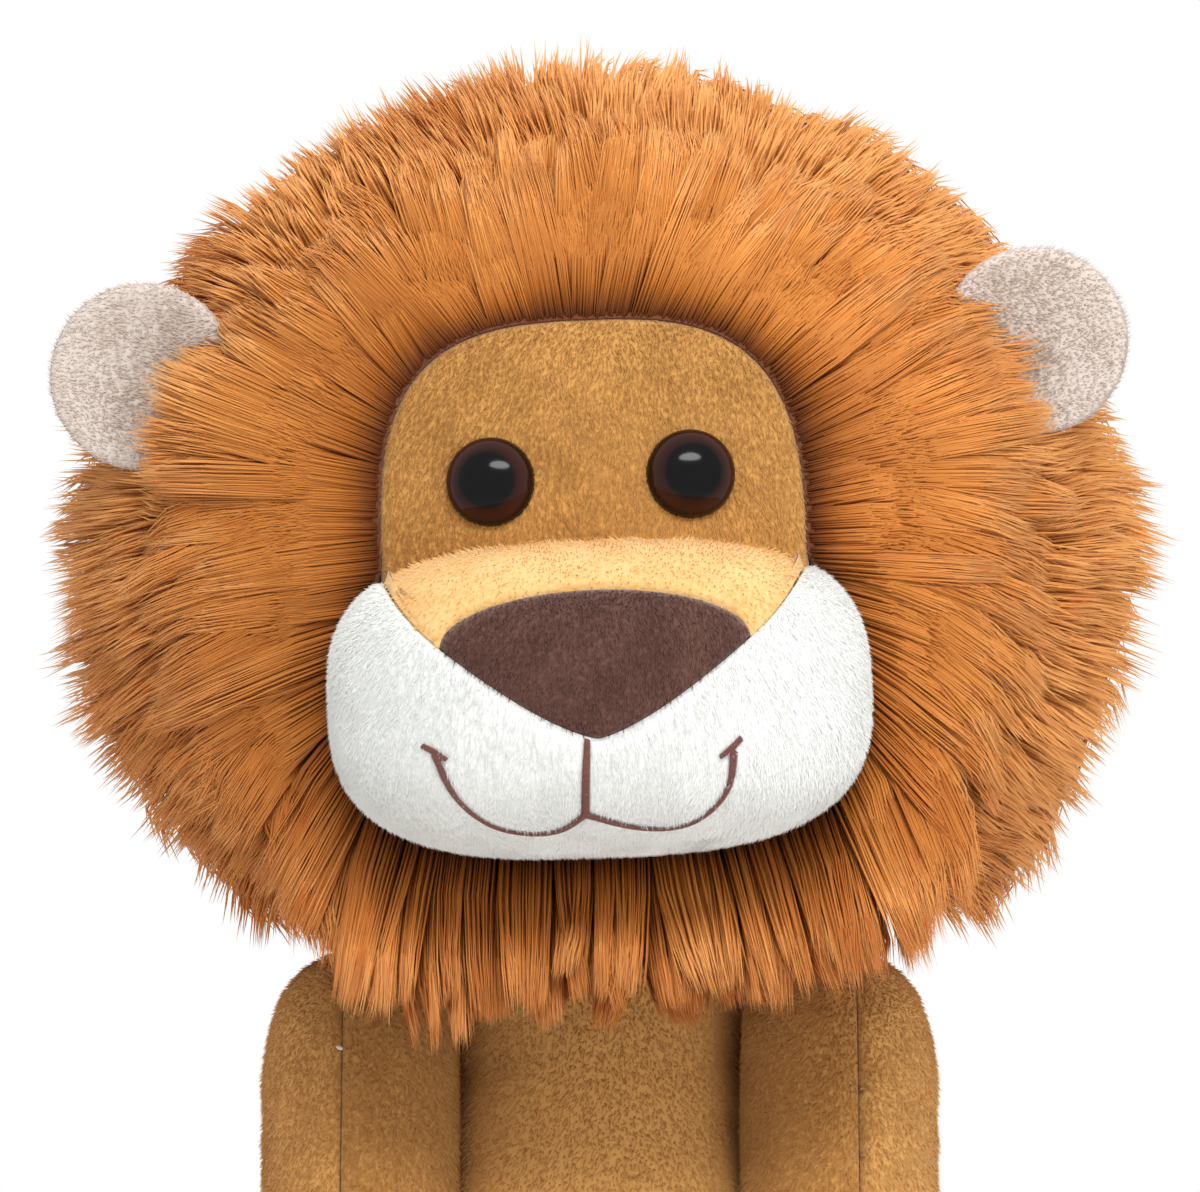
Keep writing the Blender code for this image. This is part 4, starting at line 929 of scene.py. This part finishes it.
def make_face():
    mouth = embroider_mouth()

    def round_mouth(points):
        """The pile is pressed down along the stitches of the mouth."""
        return in_front(points) * smooth_step(0.0006, 0.0016, distances(points, mouth))

    steps = np.linspace(0, 1, 41)
    side = np.linspace(-1, 1, 81)
    nose_z = NOSE_TIP + (NOSE_CORNER - NOSE_TIP) * np.abs(side) ** NOSE_POWER
    nose_low = np.stack((NOSE_HALF_WIDTH * side, nose_z), 1)
    arc = math.pi * steps[1:-1]
    nose_z = NOSE_CORNER + (NOSE_TOP - NOSE_CORNER) * np.sin(arc)
    nose_top = np.stack((NOSE_HALF_WIDTH * np.cos(arc), nose_z), 1)
    bridge_x = NOSE_HALF_WIDTH + (BRIDGE_HALF_WIDTH - NOSE_HALF_WIDTH) * steps
    bridge_z = NOSE_CORNER + (BRIDGE_CORNER - NOSE_CORNER) * steps - BRIDGE_BOW * np.sin(math.pi * steps)
    bridge_side = np.stack((bridge_x, bridge_z), 1)
    mirrored = bridge_side * (-1, 1)
    corner = math.atan2(BRIDGE_CORNER, BRIDGE_HALF_WIDTH)
    low = math.atan2(NOSE_CORNER, NOSE_HALF_WIDTH)
    behind = math.radians(122)

    turns = np.linspace(-math.pi - corner, corner, 150)
    inner = ray_radii(np.concatenate((nose_low, bridge_side, mirrored)), turns)
    rows = between(muzzle_opening(turns, inner + SEAM_GAP), np.full(len(turns), behind), 32)
    white = muzzle_points(np.broadcast_to(turns, rows.shape), rows)
    sew(
        "muzzle", grid_patch("muzzle", white, False), WHITE, "head", ["muzzle_panel"],
        FACE_STRANDS, seed=4, cover=round_mouth,
    )

    turns = np.linspace(low, math.pi - low, 110)
    inner = muzzle_opening(turns, ray_radii(nose_top, turns) + SEAM_GAP)
    edge = muzzle_opening(turns, ray_radii(np.concatenate((bridge_side, mirrored)), turns) - SEAM_GAP)
    outer = np.where(np.abs(turns - math.pi / 2) < math.pi / 2 - corner, behind, np.maximum(edge, inner))
    rows = between(inner, outer, 20)
    gold = muzzle_points(np.broadcast_to(turns, rows.shape), rows)
    sew(
        "bridge", grid_patch("bridge", gold, False), LIGHT_GOLD, "head", ["bridge_panel"],
        NAP_STRANDS, seed=6, cover=in_front,
    )

    turns = np.linspace(0, 2 * math.pi, 130, endpoint=False)
    x, z = filled(np.concatenate((nose_low, nose_top)), turns, 0.007, 20, SEAM_GAP)
    around = np.arctan2(z, x)
    brown = muzzle_points(around, muzzle_opening(around, np.hypot(x, z)))
    sew("nose", grid_patch("nose", brown, True), DARK_BROWN, "head", ["nose_panel"], FACE_STRANDS, seed=8)

    arch = math.pi * steps
    x = np.sign(np.cos(arch)) * np.abs(np.cos(arch)) ** (2 / FOREHEAD_POWER) * FOREHEAD_HALF_WIDTH
    z = np.sin(arch) ** (2 / FOREHEAD_POWER) * FOREHEAD_TOP
    foot = MUZZLE_CENTRE[2] + 0.012
    half = FOREHEAD_HALF_WIDTH
    sides = [(x_side, z_side) for x_side in (-half, half) for z_side in np.linspace(foot, -0.001, 20)]
    base_line = [(x_base, foot) for x_base in np.linspace(-half, half, 60)]
    x, z = filled(np.concatenate((np.stack((x, z), 1), sides, base_line)), turns, 0.008, 32)
    power = HEAD_POWERS[0]
    depth = (1 - np.abs(x / HEAD_HALVES[0]) ** power - np.abs(z / HEAD_HALVES[2]) ** power) ** (1 / power)
    tan = np.stack((x, HEAD_CENTRE[1] - depth * HEAD_HALVES[1], z), -1)
    sew(
        "forehead", grid_patch("forehead", tan, True), GOLDEN_TAN, "head",
        ["forehead_panel", "head_stuffing"], FACE_STRANDS, seed=10,
    )


def make_eye(side_name, side):
    """A moulded safety eye: a glossy dome on a rim, whose colour runs from pupil to iris."""
    surface = np.array([(side * EYE_OUT, 0, EYE_RISE)])
    power = HEAD_POWERS[0]
    shares = np.abs(surface / HEAD_HALVES) ** power
    surface[0, 1] = HEAD_CENTRE[1] - HEAD_HALVES[1] * (1 - shares.sum()) ** (1 / power)
    out = Vector(outward(surface, HEAD_CENTRE, HEAD_HALVES, HEAD_POWERS)[0])
    slopes = np.linspace(0, math.pi / 2, 22)
    profile = [(EYE_RADIUS * math.sin(t), EYE_RIM + EYE_DOME * math.cos(t)) for t in slopes]
    profile += [(EYE_RADIUS + 0.0001, EYE_RIM * 0.5), (EYE_RADIUS, 0)]
    profile += [(SHANK_RADIUS, EYE_BACK), (SHANK_RADIUS, SHANK_END), (0, SHANK_END)]
    facing = out.to_track_quat("Z", "Y").to_matrix()
    points, faces, rings = [], [], []
    count = 64
    for radius, height in profile:
        for step in range(count):
            angle = 2 * math.pi * step / count
            local = Vector((radius * math.cos(angle), radius * math.sin(angle), height - EYE_SINK))
            points.append(Vector(surface[0]) + facing @ local)
            rings.append(radius / EYE_RADIUS)
    faces = [face[::-1] for face in grid_faces(len(profile), count)]
    eye = mesh_object(f"eye_{side_name}_moulding", points, faces, HEAD)
    note(eye.data, ring=np.array(rings))
    with editing(eye.data) as bm:
        bmesh.ops.remove_doubles(bm, verts=bm.verts, dist=WELD)
        bmesh.ops.recalc_face_normals(bm, faces=bm.faces)
    eye.data.shade_smooth()
    eye.data.materials.append(EYE_PLASTIC)
    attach(eye, "head")
    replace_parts(eye, f"eye_{side_name}")


def make_ear(side_name, side):
    """A round, cupped ear on its stem: two panels that meet in the seam round its rim."""
    along = np.array((side * math.cos(EAR_ANGLE), 0, math.sin(EAR_ANGLE)))
    wide = np.array((-side * math.sin(EAR_ANGLE), 0, math.cos(EAR_ANGLE)))
    middle = np.array((0, MANE_SEAM_Y + 0.0036, 0)) + along * EAR_REACH
    turns = np.linspace(0, 2 * math.pi, 90, endpoint=False)
    angle = np.linspace(-2.45, 2.45, 80)
    cup_middle = on_head((middle - along * 0.006)[None])[0]

    def cupped(points):
        """Painted shade down in the cup, and painted light towards its rim."""
        return 0.4 - 0.9 * np.exp(-((np.linalg.norm(points - cup_middle, axis=1) / 0.010) ** 2))

    rim = np.stack((EAR_RADIUS * np.cos(angle), EAR_RADIUS * np.sin(angle)), 1)
    stem = [(reach, w) for reach in (-0.02, -EAR_ROOT) for w in (-EAR_STEM, EAR_STEM)]
    root = [(-EAR_ROOT, w) for w in np.linspace(-EAR_STEM, EAR_STEM, 9)]
    radii = ray_radii(np.concatenate((rim, stem, root)), turns)
    for panel, facing in (("front", -1), ("back", 1)):
        share = np.linspace(0, 1, 22)[:, None]
        a, w = share * radii * np.cos(turns), share * radii * np.sin(turns)
        cup = EAR_CUP * (1 - np.clip(np.hypot(a, w) / EAR_RADIUS, 0, 1) ** 2) * smooth_step(-0.024, -0.006, a)
        puff = facing * EAR_PUFF * np.sqrt(np.maximum(1 - share**3, 0)) + facing * 0.0002
        points = middle + a[..., None] * along + w[..., None] * wide
        points[..., 1] += cup + puff
        base = grid_patch(f"ear_{panel}_{side_name}", points, True, (0, facing, 0))
        sew(
            f"ear_{panel}_{side_name}", base, CREAM, "head", [f"ear_{panel}_{side_name}"],
            EAR_STRANDS, 0.5, tuple(along), 12, shading=cupped if facing < 0 else None,
        )


# The body's skins

def stuffed(form):
    """Blows a skin up as its stuffing does, in a cloth simulation, and never past STUFFING_CAP."""
    start = corners(form.data)
    move_to(form.data, start - normals(form.data) * STUFFING_START)
    cloth = form.modifiers.new("stuffing", "CLOTH")
    cloth.settings.use_pressure = True
    cloth.settings.uniform_pressure_force = STUFFING_PRESSURE
    cloth.settings.shrink_min = -STUFFING_GROWTH
    cloth.settings.mass = CLOTH_MASS
    cloth.settings.effector_weights.gravity = 0
    cloth.settings.quality = 6
    cloth.point_cache.frame_end = STUFFING_FRAMES
    for number in range(1, STUFFING_FRAMES + 1):
        scene.frame_set(number)
    made = plain(form.name, form)
    scene.frame_set(1)
    bpy.data.objects.remove(form)
    moved = corners(made.data) - start
    reach = np.linalg.norm(moved, axis=1, keepdims=True)
    move_to(made.data, start + moved * np.minimum(1, STUFFING_CAP / np.maximum(reach, 1e-9)))
    return made


def keep_largest(bm):
    """Leaves only the largest of the separate shells in a bmesh."""
    left = set(bm.verts)
    largest = []
    while left:
        shell, edge = set(), [next(iter(left))]
        while edge:
            vertex = edge.pop()
            if vertex in left:
                left.discard(vertex)
                shell.add(vertex)
                edge += [e.other_vert(vertex) for e in vertex.link_edges]
        if len(shell) > len(largest):
            largest = shell
    bmesh.ops.delete(bm, geom=[v for v in bm.verts if v not in largest], context="VERTS")


def skin_form(name, nodes, voxel=0.0044):
    """The rounded outside of a stuffed body, from its CAD panels and their stuffing."""
    mesh = bpy.data.meshes.new(name)
    with editing(mesh) as bm:
        for node in nodes:
            bm.from_mesh(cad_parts[node].data)
    form = new_object(name, mesh)
    remesh = form.modifiers.new("remesh", "REMESH")
    remesh.mode = "VOXEL"
    remesh.voxel_size = voxel
    smoothing = form.modifiers.new("smooth", "SMOOTH")
    smoothing.factor = 0.5
    smoothing.iterations = 5
    made = plain(name, form)
    bpy.data.objects.remove(form)
    with editing(made.data) as bm:
        keep_largest(bm)
    made = stuffed(made)
    made.modifiers.new("rounding", "SUBSURF")
    rounded = plain(name, made)
    bpy.data.objects.remove(made)
    points = corners(rounded.data)
    points[:, 2] = np.maximum(points[:, 2], FLOOR_GAP)
    move_to(rounded.data, points)
    return rounded


def panels(form, body, plans, density, **how):
    """Cuts a skin into its panels: a plan is a name, planes to keep inside of, a plush and nodes."""
    for name, planes, plush_pair, nodes in plans:
        base = new_object(name, form.data.copy())
        with editing(base.data) as bm:
            for axis, place, keep in planes:
                normal = keep * np.eye(3)[axis]
                geom = bm.verts[:] + bm.edges[:] + bm.faces[:]
                co = normal * keep * (place + keep * SEAM_GAP)
                bmesh.ops.bisect_plane(bm, geom=geom, plane_co=co, plane_no=normal, clear_inner=True)
        sew(name, base, plush_pair, body, nodes, density, cover=met_first, **how)
    bpy.data.objects.remove(form)


def met_first(points):
    """The body's pile is drawn fibre by fibre on the chest and shoulders, and more sparsely elsewhere."""
    low = smooth_step(0.055, 0.075, points[:, 2]) * smooth_step(0.128, 0.120, points[:, 2])
    return 0.08 + 0.92 * low * smooth_step(-0.005, -0.020, points[:, 1])


def arm_painted_shadow(points):
    """Painted shadow of the fringe: high on the inner side of the arms the pile is made darker."""
    inner = smooth_step(0.047, 0.041, np.abs(points[:, 0]))
    return -0.9 * inner * smooth_step(0.070, 0.090, points[:, 2])


def chest_painted_light(points):
    """Painted light on the chest, whose pile is made lighter there."""
    return 0.5 * smooth_step(0.000, -0.020, points[:, 1]) * smooth_step(0.055, 0.085, points[:, 2])


def close_seam(points, outs, body):
    """A few white hand stitches show where an arm's front seam was closed after stuffing."""
    seam_x = -ARM_SEAM
    places, facing = [], []
    for height in CLOSING_STITCHES:
        away = np.hypot(points[:, 0] - seam_x, points[:, 2] - height) + np.where(points[:, 1] > 0, 1, 0)
        nearest = away.argmin()
        places.append((seam_x, points[nearest, 1], height))
        facing.append(outs[nearest])
    places, facing = np.array(places), unit(np.array(facing))
    downs = unit(np.array(DOWN) + facing * facing[:, 2:3])
    stitch(
        f"{body}_stitches", places + facing * 0.0010, downs, facing, np.full(len(places), CLOSING_HALF),
        body, SEWING_THREAD, CLOSING_THREAD,
    )


def make_body():
    torso_nodes = ["belly_panel", "back_panel_left", "back_panel_right", "seat_panel", "torso_stuffing"]
    torso = skin_form("torso_form", torso_nodes)
    above_seat, behind = (2, SEAT_SEAM, 1), (1, SIDE_SEAM, 1)
    panels(
        torso, "torso",
        [
            ("belly", [(1, SIDE_SEAM, -1), above_seat], TAN, ["belly_panel", "torso_stuffing", "pellet_bag"]),
            ("back_left", [behind, above_seat, (0, 0, 1)], TAN, ["back_panel_left"]),
            ("back_right", [behind, above_seat, (0, 0, -1)], TAN, ["back_panel_right"]),
            ("seat", [(2, SEAT_SEAM, -1)], TAN, ["seat_panel"]),
        ],
        BODY_STRANDS, fill=0.9, shading=chest_painted_light,
    )
    for side_name, side in SIDES.items():
        body = f"front_leg_{side_name}"
        outer, inner, core = f"{body}_outer", f"{body}_inner", f"{body}_stuffing"
        leg = skin_form(f"{body}_form", [f"{outer}_panel", f"{inner}_panel", core], 0.0036)
        leg_points, leg_outs = corners(leg.data), normals(leg.data)
        panels(
            leg, body,
            [
                (outer, [(0, side * ARM_SEAM, side)], TAN, [f"{outer}_panel", core]),
                (inner, [(0, side * ARM_SEAM, -side)], TAN, [f"{inner}_panel"]),
            ],
            BODY_STRANDS, shading=arm_painted_shadow,
        )
        if side < 0:
            close_seam(leg_points, leg_outs, body)
        body = f"hind_leg_{side_name}"
        thigh_nodes = [f"thigh_panel_{side_name}", f"thigh_stuffing_{side_name}"]
        thigh = skin_form(f"{body}_thigh_form", thigh_nodes)
        panels(thigh, body, [(f"{body}_thigh", [], TAN, thigh_nodes)], BODY_STRANDS)
        foot_panel, sole_panel = f"foot_panel_{side_name}", f"sole_panel_{side_name}"
        core = f"foot_stuffing_{side_name}"
        foot = skin_form(f"{body}_foot_form", [foot_panel, sole_panel, core])
        panels(
            foot, body,
            [
                (f"{body}_foot", [(1, SOLE_SEAM, 1)], TAN, [foot_panel, core]),
                (f"{body}_sole", [(1, SOLE_SEAM, -1)], SOLE_GOLD, [sole_panel]),
            ],
            BODY_STRANDS,
        )
    tail_nodes = ["tail_panel", "tail_stuffing"]
    tail = skin_form("tail_form", tail_nodes, 0.0026)
    panels(tail, "tail", [("tail", [], TAN, tail_nodes)], BODY_STRANDS, comb=(0.4, 1, 0))
    make_tuft()


def make_tuft():
    """Long fur that runs along the tail's end and closes to a point."""
    core = skin_form("tail_tuft_cloth", ["tail_tuft"], 0.0030)
    points, outs = corners(core.data), normals(core.data)
    axis = unit(np.array(TUFT_WAY))
    share = (points - points.mean(0)) @ axis
    share = (share - share.min()) / (share.max() - share.min())
    # The knitted core reaches back over the tail's end, where it is sewn on
    shrunk = points - outs * 0.003 - axis * (TUFT_LAP * (1 - share) ** 2)[:, None]
    move_to(core.data, shrunk)
    reach = TUFT_LENGTH * (1 - 0.75 * share)
    aim = shrunk + axis * reach[:, None] + outs * (TUFT_SPREAD * (1 - share))[:, None]
    aim, rise = above_floor(shrunk, aim, outs * 0.004 + axis * 0.004, TUFT_STRAY)
    note(core.data, aim=aim, rise=rise, thick=np.ones(len(points)), tone=np.full(len(points), 0.5))
    grow(
        "tail_tuft_fur", core, FUR, "tail", ["tail_tuft"], 3, 9,
        strands=TUFT_STRANDS, tufts=TAIL_TUFTS, width=0.00036, gather=0.7,
        uneven_tufts=0.15, uneven_strands=0.2, stray=TUFT_STRAY,
    )
    forget(core.data, ("aim", "rise", "thick"))
    core.data.materials.append(FUR_BACKING)
    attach(core, "tail")
    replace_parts(core, "tail_tuft")


# The camera, lights and floor

def make_stage():
    camera = bpy.data.objects.new("camera", bpy.data.cameras.new("camera"))
    scene.collection.objects.link(camera)
    camera.data.sensor_width = SENSOR
    camera.data.lens = SENSOR * PICTURE_DISTANCE / PICTURE_WIDTH
    camera.location = CAMERA
    camera.rotation_euler = (math.pi / 2, 0, 0)
    camera.data.clip_start = 0.01
    scene.camera = camera

    for name, place, size, watts in LAMPS:
        lamp = bpy.data.objects.new(name, bpy.data.lights.new(name, "AREA"))
        scene.collection.objects.link(lamp)
        lamp.data.shape = "ELLIPSE"
        lamp.data.size, lamp.data.size_y = size
        lamp.data.energy = watts
        # Only the key is mirrored, as one highlight in each eye
        lamp.visible_glossy = name == "key"
        lamp.location = place
        lamp.rotation_euler = (LIT_POINT - Vector(place)).to_track_quat("-Z", "Y").to_euler()

    world = bpy.data.worlds.new("studio")
    scene.world = world
    world.use_nodes = True
    tree = world.node_tree
    # White where it is seen, mirrored or looked through, and softer as the light it gives
    seen = add(tree, "ShaderNodeLightPath").outputs
    in_sight = seen["Is Camera Ray"]
    for label in ("Is Glossy Ray", "Is Transmission Ray"):
        in_sight = add(tree, MATHS, {0: in_sight, 1: seen[label]}, operation="MAXIMUM")
    strength = add(tree, MIX, {0: in_sight, 2: WORLD_LIGHT, 3: 1.0}, data_type="FLOAT")
    background = tree.nodes["Background"]
    background.inputs["Color"].default_value = (1, 1, 1, 1)
    tree.links.new(strength.outputs[0], background.inputs["Strength"])

    rim = [(x * FLOOR_HALF, y * FLOOR_HALF, 0) for x, y in ((-1, -1), (1, -1), (1, 1), (-1, 1))]
    floor = mesh_object("floor", rim, [(0, 1, 2, 3)])
    # Matt white card, which fades into the white backdrop
    made, tree, shader = new_material("white card", {"Roughness": 0.9, "Base Color": colour("#F4F4F4")})
    place = add(tree, COORDINATES).outputs["Object"]
    away = add(tree, VECTORS, {0: place}, operation="LENGTH").outputs["Value"]
    fade = add(tree, "ShaderNodeMapRange", {0: away, 1: 0.3, 2: 0.58, 3: 1.0, 4: 0.0})
    tree.links.new(fade.outputs[0], shader.inputs["Alpha"])
    floor.data.materials.append(made)


STRANDS = strand_tree()
STITCHES = stitch_tree()

# Long acrylic pile: orange and light at the tips, and a deep red brown at the roots, which is painted shade
# between the tufts
FUR = fibre(
    "long-pile acrylic fur",
    ((0.0, "#48200F"), (0.25, "#884412"), (0.65, "#B46022"), (1.0, "#C67432")),
    ((0.0, "#6A3418"), (0.25, "#C4762C"), (0.65, "#ECA052"), (1.0, "#F8BE78")),
    0.55,
)
# The knitted backing's dark red brown is partly its own colour and partly painted shade, where it shows
# between the roots and at the face's edge
FUR_BACKING = plush_cloth("knitted fur backing", "#48220F", "#6A3818")

# Short plush: soft and matt, with darker dabs where the pile is parted and lighter ones at its tips
TAN = plush("tan body plush", "#B07C40", "#D8A45E", "#BE8A46", "#F0C480")
SOLE_GOLD = plush("gold sole plush", "#C08C48", "#E8BC74", "#CC9A56", "#F6D090")
GOLDEN_TAN = plush("golden tan forehead plush", "#A8763A", "#D09A52", "#B48042", "#ECBE7C")
LIGHT_GOLD = plush("light gold bridge plush", "#E4B068", "#F0C888", "#EABA76", "#F8DAA0")
DARK_BROWN = plush("dark brown nose plush", "#4A2E26", "#6A483E", "#5A3A30", "#9A7468")
WHITE = plush("white muzzle plush", "#E2E3E0", "#F4F5F2", "#E2E3E0", "#FAFBF8")
CREAM = plush("cream ear plush", "#AC9888", "#DCD0C6", "#BCA898", "#F2E8E0")

# Rayon and cotton thread: fine filaments side by side, with a soft gloss
SILKY = {"Roughness": 0.45, "Specular IOR Level": 0.4, "Sheen Weight": 0.1}
MOUTH_THREAD = grained("brown embroidery thread", SILKY, 4000, (0.35, "#5E342C"), (0.65, "#7C4A40"), 0.4)
SEWING_THREAD = grained("off-white sewing thread", SILKY, 4000, (0.35, "#C8BCA8"), (0.65, "#EAE2D4"), 0.4)

# Hard plastic: the eyes are polished and mirror the lamp, the washers are dull from their mould
EYE_PLASTIC = eye_plastic()
MOULDED = {"Roughness": 0.45, "IOR": 1.5}
WASHER_PLASTIC = grained("moulded washer plastic", MOULDED, 500, (0.3, "#DCDCD8"), (0.7, "#ECECE8"), 0.2)

scene.view_settings.view_transform = "Standard"
make_stage()
make_mane()
make_face()
for side_name, side in SIDES.items():
    make_eye(side_name, side)
    make_ear(side_name, side)
    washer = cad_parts[f"eye_washer_{side_name}"].data
    washer.materials.clear()
    washer.materials.append(WASHER_PLASTIC)
make_body()
